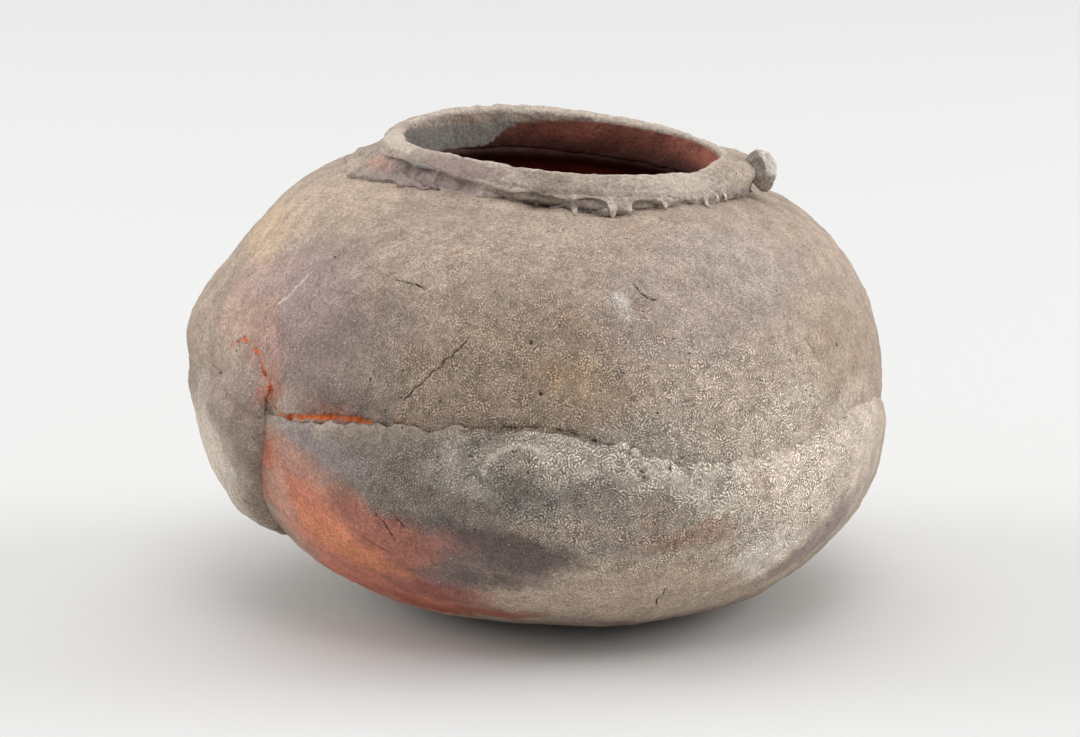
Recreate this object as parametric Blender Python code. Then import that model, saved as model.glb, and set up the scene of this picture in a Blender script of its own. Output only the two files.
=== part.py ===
"""Hand-built stoneware jar: two bowls lapped at the belly, a side slab, a collar, a rim and glaze runs.

Units are metres and +Z is up. The origin is the middle of the flat spot that it stands on; -Y is the front.
Each piece is drawn round first, as sections about the Z axis, so that seats, laps and gaps are plain sizes.
One squeeze then pushes every piece out of round together, so that what touches stays in touch.
"""

import math

import bmesh
import bpy
from mathutils import Matrix

# Round body, before the squeeze
FOOT_RADIUS = 0.046
BELLY_RADIUS = 0.1945
SEAM_HEIGHT = 0.117
SHOULDER_HEIGHT = 0.2415
MOUTH_RADIUS = 0.0878
WALL = 0.009
FLOOR = 0.012
LOWER_FULLNESS = 2.15
SHOULDER_FULLNESS = 2.1

# Joint at the belly, where the lower bowl's wavy lip laps over the outside of the shoulder
LAP_THICKNESS = 0.0045
LAP_EDGE = 0.0018
LAP_HEIGHT = 0.0135
LAP_WAVE = 0.010
SEAM_COIL_RADIUS = 0.008

# Neck: a collar strip thumbed on to the shoulder, and the rolled rim on top of it
NECK_WALL = 0.0105
COLLAR_HEIGHT = 0.010
SKIRT_EDGE = 0.0018
SKIRT_LEAST = 0.007
SKIRT_MOST = 0.028
SKIRT_THUMB_MARK = 0.003
SKIRT_RAMP = 0.005
RIM_RADIUS = 0.0062
RIM_RISE = 0.0045
RIM_CROWN = 0.0060

# Knob of clay at the end of the rim roll, and the glaze that ran off the rim
KNOB_RADIUS = 0.0094
KNOB_HEIGHT = 0.0265
KNOB_PRESSED = 0.0012
RUN_RADIUS = 0.0020
RUN_PRESSED = 0.0008
BEAD_BED = 0.0005

# Side slab, lapped over the lower bowl and the seam on the left
SLAB_THICKNESS = 0.012
SLAB_EDGE = 0.0025
SLAB_BED = 0.0006
SLAB_DROP = 0.074
SLAB_RISE = 0.032
SLAB_BACK_RISE = 0.008
# Shares of the slab's width and height over which its edges taper and swing, and its blunt low edge
SLAB_BACK_TAPER = 0.62
SLAB_FRONT_SWING = 0.62
SLAB_LOW_TAPER = 0.20
SLAB_LOW_BLUNT = 0.5
# Lip heights over which the slab's underside ramps down on to the shoulder
SLAB_RAMP = 2.0

# Directions are azimuths in degrees: 0 is right, 90 back, 180 left and 270 front
LAP_PEAK_AZIMUTH = 263
LAP_WAVES = 5
KNOB_AZIMUTH = 351
RUN_AZIMUTHS = (273, 284, 289, 301, 318, 323, 328)
SKIRT_AZIMUTH = 190
SKIRT_SPREAD = 82
SKIRT_FALL_FRONT = 0.75
SKIRT_FALL_LEFT = 1.5
THUMB_MARKS = 14
SLAB_BACK_AZIMUTH = 148
SLAB_FRONT_AZIMUTH = 218
SLAB_LOW_AZIMUTH = 204
SLAB_ARCH_AZIMUTH = 209
SLAB_ARCH_SPREAD = 34

# Squeeze of the soft clay out of round: it leans to the right, and the mouth tips to the right and front
LEAN = math.radians(2.9)
MOUTH_TIP = math.radians(2.2)
MOUTH_TIP_AZIMUTH = math.radians(335)
BELLY_SHIFT = -0.0105
MOUTH_SHIFT = -0.0084
SWELL_SPREAD = 62
SWELL_REACH = 0.055
# Push outwards, azimuth and height of each swelling or dent
SWELLS = {
    "left_base": (0.004, 212, 0.028),
    "left_belly": (0.002, 192, 0.095),
    "left_side": (0.014, 188, 0.148),
    "left_shoulder": (0.002, 190, 0.225),
    "right_base": (-0.011, 340, 0.035),
    "right_belly": (-0.006, 350, 0.085),
    "right_side": (0.003, 0, 0.180),
}

# Fit and fineness
GAP = 0.0003
MERGE_DISTANCE = 0.000003
AZIMUTH_STEPS = 72
LOWER_ROWS = 9
LIP_ROWS = 3
SHOULDER_ROWS = 9
INNER_ROWS = 6
ROLL_SIDES = 6
SKIRT_ROWS = 4
SLAB_COLUMNS = 16
SLAB_ROWS_BELOW_SEAM = 9
SLAB_ROWS_ABOVE_SEAM = 6
BEAD_SIDES = 10
BEAD_RINGS = 8
SHARP_ANGLE = math.radians(50)

MOUTH_OUTER = MOUTH_RADIUS + NECK_WALL
SHOULDER_FOOT = BELLY_RADIUS - LAP_THICKNESS - GAP
SHOULDER_INNER = SHOULDER_FOOT - WALL
COLLAR_SEAT = SHOULDER_HEIGHT + GAP
COLLAR_TOP = COLLAR_SEAT + COLLAR_HEIGHT
RIM_SEAT = COLLAR_TOP + GAP
ROLL_MIDDLE = MOUTH_RADIUS + NECK_WALL / 2
RIM_REACH = ROLL_MIDDLE + RIM_RADIUS


def clear_scene():
    for item in list(bpy.data.objects):
        bpy.data.objects.remove(item, do_unlink=True)


def between(low, high, share):
    return low + (high - low) * share


def smooth(share):
    held = min(max(share, 0.0), 1.0)
    return held * held * (3 - 2 * held)


def nearness(azimuth, degrees, spread):
    """1 at the given direction, falling smoothly to 0 at spread degrees from it."""
    away = abs((math.degrees(azimuth) - degrees + 180) % 360 - 180)
    return 1 - smooth(away / spread)


def swelled(azimuth, height):
    """Sum of the soft swellings and dents, each felt most at its middle."""
    total = 0.0
    for push, degrees, middle in SWELLS.values():
        level = 1 - smooth(abs(height - middle) / SWELL_REACH)
        total += push * nearness(azimuth, degrees, SWELL_SPREAD) * level
    return total


def squeezed(radius, azimuth, height):
    """Where a point of the round jar lies once the soft clay has leaned, shifted and swelled."""
    spread = radius * (1 + swelled(azimuth, height) / BELLY_RADIUS)
    climb = min(max(height / SHOULDER_HEIGHT, 0.0), 1.0)
    above = (height - SEAM_HEIGHT) / (SHOULDER_HEIGHT - SEAM_HEIGHT)
    x = spread * math.cos(azimuth)
    sideways = BELLY_SHIFT * math.sin(math.pi * climb) + MOUTH_SHIFT * smooth(climb)
    lean = math.tan(LEAN) * smooth(height / SEAM_HEIGHT) * x
    tip = math.tan(MOUTH_TIP) * smooth(above) * spread * math.cos(azimuth - MOUTH_TIP_AZIMUTH)
    return (x + sideways, spread * math.sin(azimuth), height - lean - tip)


def quarter(centre, half_width, half_height, fullness, rows):
    """Points of a full quarter curve, from level with its centre to straight above or below it."""
    points = []
    for row in range(rows + 1):
        turn = math.pi / 2 * row / rows
        across = math.cos(turn) ** (2 / fullness) if row < rows else 0.0
        along = math.sin(turn) ** (2 / fullness)
        points.append((centre[0] + half_width * across, centre[1] + half_height * along))
    return points


def full_share(share, fullness):
    """Other coordinate of a full quarter curve, both as shares of its half sizes."""
    held = min(max(share, 0.0), 1.0)
    return (1 - held**fullness) ** (1 / fullness)


def shoulder_radius(height):
    """Outer face of the shoulder, as a radius at a height."""
    share = (height - SEAM_HEIGHT) / (SHOULDER_HEIGHT - SEAM_HEIGHT)
    return between(MOUTH_OUTER, SHOULDER_FOOT, full_share(share, SHOULDER_FULLNESS))


def shoulder_height(radius):
    """Outer face of the shoulder, as a height at a radius."""
    share = (radius - MOUTH_OUTER) / (SHOULDER_FOOT - MOUTH_OUTER)
    return between(SEAM_HEIGHT, SHOULDER_HEIGHT, full_share(share, SHOULDER_FULLNESS))


def lip_height(azimuth):
    """Wavy reach of the lower bowl's lip above the seam."""
    return LAP_HEIGHT + LAP_WAVE * math.cos(LAP_WAVES * (azimuth - math.radians(LAP_PEAK_AZIMUTH)))


def lip_faces(azimuth):
    """Outer and inner faces of the lower bowl's lip, upwards from the ledge that the shoulder stands on."""
    outer, inner = [], []
    for row in range(1, LIP_ROWS + 1):
        share = row / LIP_ROWS
        height = SEAM_HEIGHT + lip_height(azimuth) * share
        seat = shoulder_radius(height) + GAP
        inner.append((seat, height))
        outer.append((seat + between(LAP_THICKNESS, LAP_EDGE, share), height))
    return outer, inner


def lower_bowl_section(azimuth):
    outside = quarter((FOOT_RADIUS, SEAM_HEIGHT), BELLY_RADIUS - FOOT_RADIUS, -SEAM_HEIGHT,
                      LOWER_FULLNESS, LOWER_ROWS)
    coil_foot = SEAM_HEIGHT - SEAM_COIL_RADIUS
    inside = quarter((FOOT_RADIUS, coil_foot), SHOULDER_INNER - FOOT_RADIUS, FLOOR - coil_foot,
                     LOWER_FULLNESS, INNER_ROWS)
    lip_outer, lip_inner = lip_faces(azimuth)
    ledge = [(BELLY_RADIUS - LAP_THICKNESS, SEAM_HEIGHT), (SHOULDER_INNER, SEAM_HEIGHT)]
    return [(0.0, 0.0), *reversed(outside), *lip_outer, *reversed(lip_inner), *ledge, *inside, (0.0, FLOOR)]


def shoulder_section(azimuth):
    low = SEAM_HEIGHT + GAP
    coil_top = SEAM_HEIGHT + SEAM_COIL_RADIUS
    outside = quarter((MOUTH_OUTER, low), SHOULDER_FOOT - MOUTH_OUTER, SHOULDER_HEIGHT - low,
                      SHOULDER_FULLNESS, SHOULDER_ROWS)
    inside = quarter((MOUTH_RADIUS, coil_top), SHOULDER_INNER - MOUTH_RADIUS,
                     SHOULDER_HEIGHT - WALL - coil_top, SHOULDER_FULLNESS, INNER_ROWS)
    return [*outside, (MOUTH_RADIUS, SHOULDER_HEIGHT), *reversed(inside), (SHOULDER_INNER, low)]


def seam_coil_section(azimuth):
    """Half-round coil, its back flat against the straight stretch of both inner walls."""
    back = SHOULDER_INNER - GAP
    points = []
    for side in range(ROLL_SIDES + 1):
        turn = math.pi * side / ROLL_SIDES
        points.append((back - SEAM_COIL_RADIUS * math.sin(turn),
                       SEAM_HEIGHT - SEAM_COIL_RADIUS * math.cos(turn)))
    return points


def skirt_pull(azimuth):
    """How far the collar is smeared out over the shoulder: 1 at the left, 0 at the right."""
    return nearness(azimuth, SKIRT_AZIMUTH, SKIRT_SPREAD)


def thumbed_reach(azimuth):
    """Spread of the collar's lower edge over the shoulder, with the maker's thumb marks."""
    thumbed = SKIRT_THUMB_MARK * math.sin(azimuth * THUMB_MARKS / 2) ** 2
    return between(SKIRT_LEAST, SKIRT_MOST, skirt_pull(azimuth)) + thumbed


def skirt_reach(azimuth):
    """The same edge as it is built, straight from one column of the ring to the next."""
    column = azimuth * AZIMUTH_STEPS / math.tau
    before = math.floor(column)
    ends = [thumbed_reach(math.tau * step / AZIMUTH_STEPS) for step in (before, before + 1)]
    return between(*ends, column - before)


def collar_thickness(azimuth, share):
    """Height of the collar's outer face above the shoulder, from the neck, 0, to its lower edge, 1."""
    fall = between(SKIRT_FALL_FRONT, SKIRT_FALL_LEFT, skirt_pull(azimuth))
    return between(SKIRT_EDGE, COLLAR_HEIGHT, (1 - share) ** fall)


def collar_section(azimuth):
    under, over = [], []
    for row in range(SKIRT_ROWS + 1):
        share = row / SKIRT_ROWS
        radius = MOUTH_OUTER + skirt_reach(azimuth) * share
        seat = shoulder_height(radius) + GAP
        under.append((radius, seat))
        over.append((radius, seat + collar_thickness(azimuth, share)))
    return [(MOUTH_RADIUS, COLLAR_SEAT), *under, *reversed(over), (MOUTH_RADIUS, COLLAR_TOP)]


def ground(azimuth, radius):
    """Top of what lies around the neck: the collar's face, then a ramp down to the bare shoulder."""
    share = max((radius - MOUTH_OUTER) / skirt_reach(azimuth), 0.0)
    if share <= 1:
        return shoulder_height(radius) + GAP + collar_thickness(azimuth, share)
    beyond = radius - MOUTH_OUTER - skirt_reach(azimuth)
    return shoulder_height(radius) + (GAP + SKIRT_EDGE) * (1 - smooth(beyond / SKIRT_RAMP))


def rim_section(azimuth):
    roll = []
    for side in range(ROLL_SIDES + 1):
        turn = math.pi * (1 - side / ROLL_SIDES)
        roll.append((ROLL_MIDDLE + RIM_RADIUS * math.cos(turn),
                     RIM_SEAT + RIM_RISE + RIM_CROWN * math.sin(turn)))
    return [(MOUTH_RADIUS, RIM_SEAT), *roll, (MOUTH_OUTER, RIM_SEAT)]


def slab_skin(azimuth, height):
    """Outermost radius of the two bowls and their lip, with the step above the lip filled to a ramp."""
    if height <= SEAM_HEIGHT:
        share = 1 - height / SEAM_HEIGHT
        return between(FOOT_RADIUS, BELLY_RADIUS, full_share(share, LOWER_FULLNESS))
    share = (height - SEAM_HEIGHT) / lip_height(azimuth)
    if share < 1:
        lip = between(LAP_THICKNESS, LAP_EDGE, share)
    else:
        lip = LAP_EDGE * (1 - smooth((share - 1) / SLAB_RAMP))
    return shoulder_radius(height) + GAP + lip


def slab_place(across, up):
    """Azimuth and height of a point of the slab, by its shares from the back edge and from the low edge."""
    front = between(SLAB_LOW_AZIMUTH, SLAB_FRONT_AZIMUTH, smooth(up / SLAB_FRONT_SWING))
    azimuth = math.radians(between(SLAB_BACK_AZIMUTH, front, across))
    arch = nearness(azimuth, SLAB_ARCH_AZIMUTH, SLAB_ARCH_SPREAD)
    top = SEAM_HEIGHT + between(SLAB_BACK_RISE, SLAB_RISE, arch)
    share = SLAB_ROWS_BELOW_SEAM / (SLAB_ROWS_BELOW_SEAM + SLAB_ROWS_ABOVE_SEAM)
    if up <= share:
        return azimuth, SEAM_HEIGHT - SLAB_DROP * (1 - up / share)
    return azimuth, between(SEAM_HEIGHT, top, (up - share) / (1 - share))


def slab_thickness(across, up):
    """Thick and blunt at the low front corner, running out thin to the top and to the back."""
    thinning = smooth(across / SLAB_BACK_TAPER) * (1 - smooth(up))
    return between(SLAB_EDGE, SLAB_THICKNESS, thinning * smooth(SLAB_LOW_BLUNT + up / SLAB_LOW_TAPER))


def finish(name, colour, roughness):
    material = bpy.data.materials.new(name)
    material.use_nodes = True
    shader = material.node_tree.nodes["Principled BSDF"]
    shader.inputs["Base Color"].default_value = (*colour, 1.0)
    shader.inputs["Roughness"].default_value = roughness
    shader.inputs["Metallic"].default_value = 0.0
    return material


def add_piece(name, shape, material):
    """One finished piece: its faces turned outwards, shaded smooth, with its own material."""
    bmesh.ops.remove_doubles(shape, verts=shape.verts, dist=MERGE_DISTANCE)
    bmesh.ops.recalc_face_normals(shape, faces=shape.faces)
    mesh = bpy.data.meshes.new(name)
    shape.to_mesh(mesh)
    shape.free()
    mesh.shade_smooth()
    mesh.set_sharp_from_angle(angle=SHARP_ANGLE)
    mesh.materials.append(material)
    piece = bpy.data.objects.new(name, mesh)
    bpy.context.collection.objects.link(piece)
    return piece


def bridge(shape, first, second, round_again):
    """Faces between two neighbouring rows of as many points."""
    count = len(first)
    for step in range(count if round_again else count - 1):
        following = (step + 1) % count
        shape.faces.new((first[step], first[following], second[following], second[step]))


def turned(name, section, material):
    """A bowl, whose section runs from the axis to the axis, or a ring, whose section goes round."""
    shape = bmesh.new()
    columns = []
    for step in range(AZIMUTH_STEPS):
        azimuth = math.tau * step / AZIMUTH_STEPS
        places = [squeezed(radius, azimuth, height) for radius, height in section(azimuth)]
        columns.append([shape.verts.new(place) for place in places])
    is_ring = section(0.0)[0][0] > 0
    for column, following in zip(columns, columns[1:] + columns[:1]):
        bridge(shape, column, following, is_ring)
    return add_piece(name, shape, material)


def side_slab(name, material):
    """A patch of clay lying on the bowls: an inner and an outer sheet, joined round the edge."""
    shape = bmesh.new()
    rows = SLAB_ROWS_BELOW_SEAM + SLAB_ROWS_ABOVE_SEAM
    rings = []
    for row in range(rows + 1):
        inner, outer = [], []
        for column in range(SLAB_COLUMNS + 1):
            across, up = column / SLAB_COLUMNS, row / rows
            azimuth, height = slab_place(across, up)
            seat = slab_skin(azimuth, height) + SLAB_BED
            inner.append(shape.verts.new(squeezed(seat, azimuth, height)))
            outer.append(shape.verts.new(squeezed(seat + slab_thickness(across, up), azimuth, height)))
        rings.append(inner + outer[::-1])
    for ring, following in zip(rings, rings[1:]):
        bridge(shape, ring, following, True)
    half = SLAB_COLUMNS + 1
    for ring in (rings[0], rings[-1]):
        bridge(shape, ring[:half], ring[:half - 1:-1], False)
    return add_piece(name, shape, material)


def pressed_bead(name, degrees, middle, tilt, half_width, half_height, inmost, highest, material):
    """A bead of clay or glaze, flattened where it meets the neck, what lies below and what hangs above."""
    shape = bmesh.new()
    bmesh.ops.create_uvsphere(shape, u_segments=BEAD_SIDES, v_segments=BEAD_RINGS, radius=1.0,
                              matrix=Matrix.Rotation(tilt, 4, "Y")
                              @ Matrix.Diagonal((half_width, half_width, half_height, 1.0)))
    for vert in shape.verts:
        out = middle[0] + vert.co.x
        azimuth = math.radians(degrees) + math.atan2(vert.co.y, out)
        away = max(math.hypot(out, vert.co.y), inmost)
        level = max(middle[1] + vert.co.z, ground(azimuth, away) + BEAD_BED)
        vert.co = squeezed(away, azimuth, min(level, highest))
    return add_piece(name, shape, material)


def rim_knob(name, material):
    """Lump of clay left where the rim roll's end was pressed on."""
    radius = RIM_REACH + GAP + KNOB_RADIUS
    height = ground(math.radians(KNOB_AZIMUTH), radius) + BEAD_BED + KNOB_HEIGHT / 2 - KNOB_PRESSED
    return pressed_bead(name, KNOB_AZIMUTH, (radius, height), 0.0, KNOB_RADIUS, KNOB_HEIGHT / 2,
                        RIM_REACH + GAP, math.inf, material)


def glaze_run(name, degrees, material):
    """Glaze that ran from under the rim down the collar's face, and set there as a long bead."""
    reach = skirt_reach(math.radians(degrees))
    foot = shoulder_height(MOUTH_OUTER + reach)
    out, fall = reach, COLLAR_TOP - foot
    length = math.hypot(out, fall)
    proud = RUN_RADIUS - RUN_PRESSED
    middle = (MOUTH_OUTER + out / 2 + proud * fall / length, foot + fall / 2 + proud * out / length)
    return pressed_bead(name, degrees, middle, -math.atan2(out, fall), RUN_RADIUS, length / 2,
                        MOUTH_OUTER + GAP, COLLAR_TOP, material)


clear_scene()
turned("lower_bowl", lower_bowl_section, finish("flame_marked_clay", (0.27, 0.21, 0.17), 0.82))
turned("shoulder_bowl", shoulder_section, finish("ash_grained_clay", (0.29, 0.23, 0.19), 0.78))
turned("seam_coil", seam_coil_section, finish("bare_inner_clay", (0.16, 0.07, 0.05), 0.85))
side_slab("side_slab", finish("grey_tan_clay", (0.26, 0.22, 0.18), 0.84))
turned("collar_strip", collar_section, finish("purple_grey_clay", (0.22, 0.18, 0.17), 0.82))
turned("rim_coil", rim_section, finish("slip_coated_clay", (0.36, 0.32, 0.27), 0.70))
rim_knob("rim_knob", finish("pale_knob_clay", (0.34, 0.30, 0.26), 0.85))
run_glaze = finish("ash_glaze", (0.46, 0.42, 0.34), 0.35)
for number, run_azimuth in enumerate(RUN_AZIMUTHS, start=1):
    glaze_run(f"glaze_run_{number}", run_azimuth, run_glaze)
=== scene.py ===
"""Looks of a wood-fired stoneware jar over its CAD frame: kneaded clay, cracks, fire marks, ash and glaze.

Places on the jar are given as on a globe about the middle of its box: longitude 0 is right, 90 back,
180 left and 270 front, and latitude runs from -90 under the foot to 90 over the mouth, all in degrees.
"""

import math

import bpy
import numpy as np
from mathutils import Matrix, Vector, noise
from mathutils.bvhtree import BVHTree


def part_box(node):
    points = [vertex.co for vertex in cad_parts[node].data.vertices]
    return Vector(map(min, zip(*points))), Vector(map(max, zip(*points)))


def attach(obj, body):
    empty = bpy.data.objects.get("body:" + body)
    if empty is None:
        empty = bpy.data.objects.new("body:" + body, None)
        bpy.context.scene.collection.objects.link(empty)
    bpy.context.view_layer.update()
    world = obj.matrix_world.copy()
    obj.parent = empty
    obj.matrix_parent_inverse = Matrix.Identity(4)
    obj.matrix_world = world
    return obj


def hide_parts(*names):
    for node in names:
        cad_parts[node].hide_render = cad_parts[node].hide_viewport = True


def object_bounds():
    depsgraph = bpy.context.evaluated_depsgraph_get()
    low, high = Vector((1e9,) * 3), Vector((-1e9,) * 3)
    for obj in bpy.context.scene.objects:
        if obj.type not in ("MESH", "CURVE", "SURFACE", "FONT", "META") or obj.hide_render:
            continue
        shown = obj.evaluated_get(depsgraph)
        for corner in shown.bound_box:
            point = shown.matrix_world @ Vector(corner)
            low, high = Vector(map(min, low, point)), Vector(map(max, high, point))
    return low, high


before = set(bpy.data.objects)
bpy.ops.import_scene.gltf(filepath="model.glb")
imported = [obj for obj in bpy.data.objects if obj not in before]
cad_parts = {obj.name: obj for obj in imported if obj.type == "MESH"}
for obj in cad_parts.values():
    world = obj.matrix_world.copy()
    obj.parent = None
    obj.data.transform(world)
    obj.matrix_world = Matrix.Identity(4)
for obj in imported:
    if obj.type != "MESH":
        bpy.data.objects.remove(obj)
cad_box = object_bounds()

# Studio: a pale floor in a glow that is weaker from the front, with a wide soft light overhead,
# one at each side and a weak one high in front.
# The camera looks at the jar's front, a little from above, through a long lens.
VIEW_AIM = Vector((-0.0217, 0.0, 0.130))
VIEW_DISTANCE = 2.2
VIEW_ELEVATION = math.radians(13)
LENS = 128.4
SENSOR_WIDTH = 36
FLOOR_SIZE = 16
FLOOR_COLOUR = (0.71, 0.71, 0.705, 1.0)
FLOOR_ROUGHNESS = 0.9
HAZE_COLOUR = (0.86, 0.86, 0.86, 1.0)
GLOW_STRENGTH = 0.60
FRONT_GLOW_STRENGTH = 0.36
GLOW_TURN = (-0.9, -0.2)  # from straight in front to almost beside the jar
LAMPS = {  # place, width and power
    "overhead": (Vector((0.1, 1.3, 9.0)), 9.0, 280),
    "left": (Vector((-5.0, 0.6, 2.4)), 3.0, 115),
    "right": (Vector((5.0, 0.6, 2.4)), 3.0, 130),
    "front": (Vector((0.6, -4.0, 6.8)), 3.2, 88),
}
scene = bpy.context.scene
scene.view_settings.view_transform = "Standard"
bpy.ops.object.select_all(action="DESELECT")

toward_viewer = Vector((0, -math.cos(VIEW_ELEVATION), math.sin(VIEW_ELEVATION)))
bpy.ops.object.camera_add(location=VIEW_AIM + VIEW_DISTANCE * toward_viewer,
                          rotation=(math.pi / 2 - VIEW_ELEVATION, 0, 0))
camera = bpy.context.object
camera.data.lens = LENS
camera.data.sensor_width = SENSOR_WIDTH
scene.camera = camera

bpy.ops.mesh.primitive_plane_add(size=FLOOR_SIZE)
floor = bpy.context.object
floor.name = "studio_floor"
floor_paint = bpy.data.materials.new("pale_floor_paint")
floor_paint.use_nodes = True
floor_paint.node_tree.nodes["Principled BSDF"].inputs["Base Color"].default_value = FLOOR_COLOUR
floor_paint.node_tree.nodes["Principled BSDF"].inputs["Roughness"].default_value = FLOOR_ROUGHNESS
floor.data.materials.append(floor_paint)

for lamp_name, (lamp_place, lamp_width, lamp_power) in LAMPS.items():
    bpy.ops.object.light_add(type="AREA", location=lamp_place,
                             rotation=(VIEW_AIM - lamp_place).to_track_quat("-Z", "Y").to_euler())
    lamp = bpy.context.object
    lamp.name = lamp_name + "_lamp"
    lamp.data.size = lamp_width
    lamp.data.energy = lamp_power


def node(tree, kind, inputs=None, **settings):
    """One shader node: its own settings, and inputs that are joined to a socket or set to a value."""
    made = tree.nodes.new("ShaderNode" + kind)
    for setting, value in settings.items():
        setattr(made, setting, value)
    for socket, value in (inputs or {}).items():
        if isinstance(value, bpy.types.NodeSocket):
            tree.links.new(value, made.inputs[socket])
        else:
            made.inputs[socket].default_value = value
    return made


def math_node(tree, operation, *values):
    return node(tree, "Math", dict(enumerate(values)), operation=operation).outputs[0]


def vector_math(tree, operation, *values):
    return node(tree, "VectorMath", dict(enumerate(values)), operation=operation).outputs[0]


def limits(tree, value, low, high, to_low=0.0, to_high=1.0):
    """Smooth step from one limit to the other."""
    return node(tree, "MapRange", {"Value": value, "From Min": low, "From Max": high,
                                   "To Min": to_low, "To Max": to_high},
                interpolation_type="SMOOTHSTEP").outputs["Result"]


scene.world = bpy.data.worlds.new("studio_glow")
scene.world.use_nodes = True
sky = scene.world.node_tree
light_path = node(sky, "LightPath").outputs
seen = math_node(sky, "MAXIMUM", light_path["Is Camera Ray"], light_path["Is Glossy Ray"])
seen = math_node(sky, "MAXIMUM", seen, light_path["Is Transmission Ray"])
depth = node(sky, "SeparateXYZ", {0: node(sky, "TexCoord").outputs["Generated"]}).outputs["Y"]
glow_strength = limits(sky, depth, *GLOW_TURN, FRONT_GLOW_STRENGTH, GLOW_STRENGTH)
glow = node(sky, "Background", {"Color": (1, 1, 1, 1), "Strength": glow_strength}).outputs[0]
haze = node(sky, "Background", {"Color": HAZE_COLOUR, "Strength": 1.0}).outputs[0]
shown = node(sky, "MixShader", {0: seen, 1: glow, 2: haze}).outputs[0]
sky.links.new(shown, sky.nodes["World Output"].inputs["Surface"])

# Lower bowl: the coil-built bottom half, of coarse stoneware clay, beaten round while soft.
# Its wavy lip is smeared over the foot of the shoulder, and the flame of the kiln has marked it
# orange at the left, charcoal beside that, and pale with melted ash along the front and right.
middle = (cad_box[0] + cad_box[1]) / 2
PATH_STEP = 0.0012
WOBBLE_RATE = 0.6
LINE_REACH = 0.006
LINE_TIP = 0.2
BREAK_SIZE = 0.006
BREAK_CONTRAST = 1.6
PAINT_SPREAD = 1.1
RAGGED = 0.6
RAGGED_SIZE = 0.0025
MERGE_DISTANCE = 0.00005


def heading(longitude, latitude):
    """Direction from the middle of the jar."""
    turn, climb = math.radians(longitude), math.radians(latitude)
    return Vector((math.cos(turn) * math.cos(climb), math.sin(turn) * math.cos(climb), math.sin(climb)))


def skin_of(*meshes):
    """Search tree of the faces of some meshes."""
    points, faces = [], []
    for mesh in meshes:
        first = len(points)
        points += [vertex.co.copy() for vertex in mesh.vertices]
        faces += [[first + corner for corner in face.vertices] for face in mesh.polygons]
    return BVHTree.FromPolygons(points, faces)


walls = skin_of(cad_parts["lower_bowl"].data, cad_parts["shoulder_bowl"].data)


def on_wall(longitude, latitude):
    """Point of the bowls' outer face at a place on the globe."""
    out = heading(longitude, latitude)
    return walls.ray_cast(middle + out, -out)[0]


def along_wall(*stops, wobble=0.0):
    """Close points of a path over the bowls' outer face, through places on the globe, a little unsteady."""
    points = []
    for (longitude, latitude), (to_longitude, to_latitude) in zip(stops, stops[1:]):
        start, end = on_wall(longitude, latitude), on_wall(to_longitude, to_latitude)
        steps = max(int((end - start).length / PATH_STEP), 1)
        for step in range(steps):
            share = step / steps
            sway = wobble * noise.noise(Vector((longitude, latitude, WOBBLE_RATE * step)))
            points.append(on_wall(longitude + (to_longitude - longitude) * share + sway,
                                  latitude + (to_latitude - latitude) * share - sway))
    points.append(on_wall(*stops[-1]))
    return np.array(points)


def take_up(piece):
    """Makes a piece the only one selected, and the active one."""
    bpy.ops.object.select_all(action="DESELECT")
    piece.select_set(True)
    bpy.context.view_layer.objects.active = piece


def clay_copy(name, source, levels):
    """A copy of a CAD node's mesh, merged, turned to quads and smoothed into soft clay."""
    piece = bpy.data.objects.new(name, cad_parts[source].data.copy())
    bpy.context.collection.objects.link(piece)
    piece.data.materials.clear()
    take_up(piece)
    bpy.ops.mesh.customdata_custom_splitnormals_clear()
    bpy.ops.object.mode_set(mode="EDIT")
    bpy.ops.mesh.select_all(action="SELECT")
    bpy.ops.mesh.remove_doubles(threshold=MERGE_DISTANCE)
    bpy.ops.mesh.tris_convert_to_quads(face_threshold=math.pi, shape_threshold=math.pi)
    bpy.ops.mesh.mark_sharp(clear=True)
    bpy.ops.object.mode_set(mode="OBJECT")
    smoothing = piece.modifiers.new("Smoothed clay", "SUBSURF")
    smoothing.levels = smoothing.render_levels = levels
    bpy.ops.object.modifier_apply(modifier=smoothing.name)
    bpy.ops.object.shade_smooth()
    return piece


def read_vectors(items, what):
    values = np.zeros(len(items) * 3)
    items.foreach_get(what, values)
    return values.reshape(-1, 3)


def places(piece):
    return read_vectors(piece.data.vertices, "co")


def face_places(piece):
    return read_vectors(piece.data.polygons, "center")


def split_faces(piece, chosen, cuts):
    """Divides the chosen faces, so that they can carry finer marks."""
    take_up(piece)
    bpy.ops.object.mode_set(mode="EDIT")
    bpy.ops.mesh.select_mode(type="FACE")
    bpy.ops.mesh.select_all(action="DESELECT")
    bpy.ops.object.mode_set(mode="OBJECT")
    piece.data.polygons.foreach_set("select", chosen)
    bpy.ops.object.mode_set(mode="EDIT")
    bpy.ops.mesh.subdivide(number_cuts=cuts, ngon=False)
    bpy.ops.object.mode_set(mode="OBJECT")


def faces_outwards(piece):
    """Which faces look away from the middle of the jar."""
    out = face_places(piece) - np.array(middle)
    return (read_vectors(piece.data.polygons, "normal") * out).sum(1) > 0


def distance_to(points, path, reach):
    """Distance of each point within reach from a path, and the share of the path that is nearest to it."""
    nearest = np.full(len(points), np.inf)
    share = np.zeros(len(points))
    close = np.flatnonzero(((points > path.min(0) - reach) & (points < path.max(0) + reach)).all(1))
    for step, (start, end) in enumerate(zip(path[:-1], path[1:])):
        run = end - start
        along = np.clip((points[close] - start) @ run / max(run @ run, 1e-12), 0, 1)
        away = np.linalg.norm(points[close] - start - along[:, None] * run, axis=1)
        closer = away < nearest[close]
        nearest[close[closer]] = away[closer]
        share[close[closer]] = (step + along[closer]) / (len(path) - 1)
    return nearest, share


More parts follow.
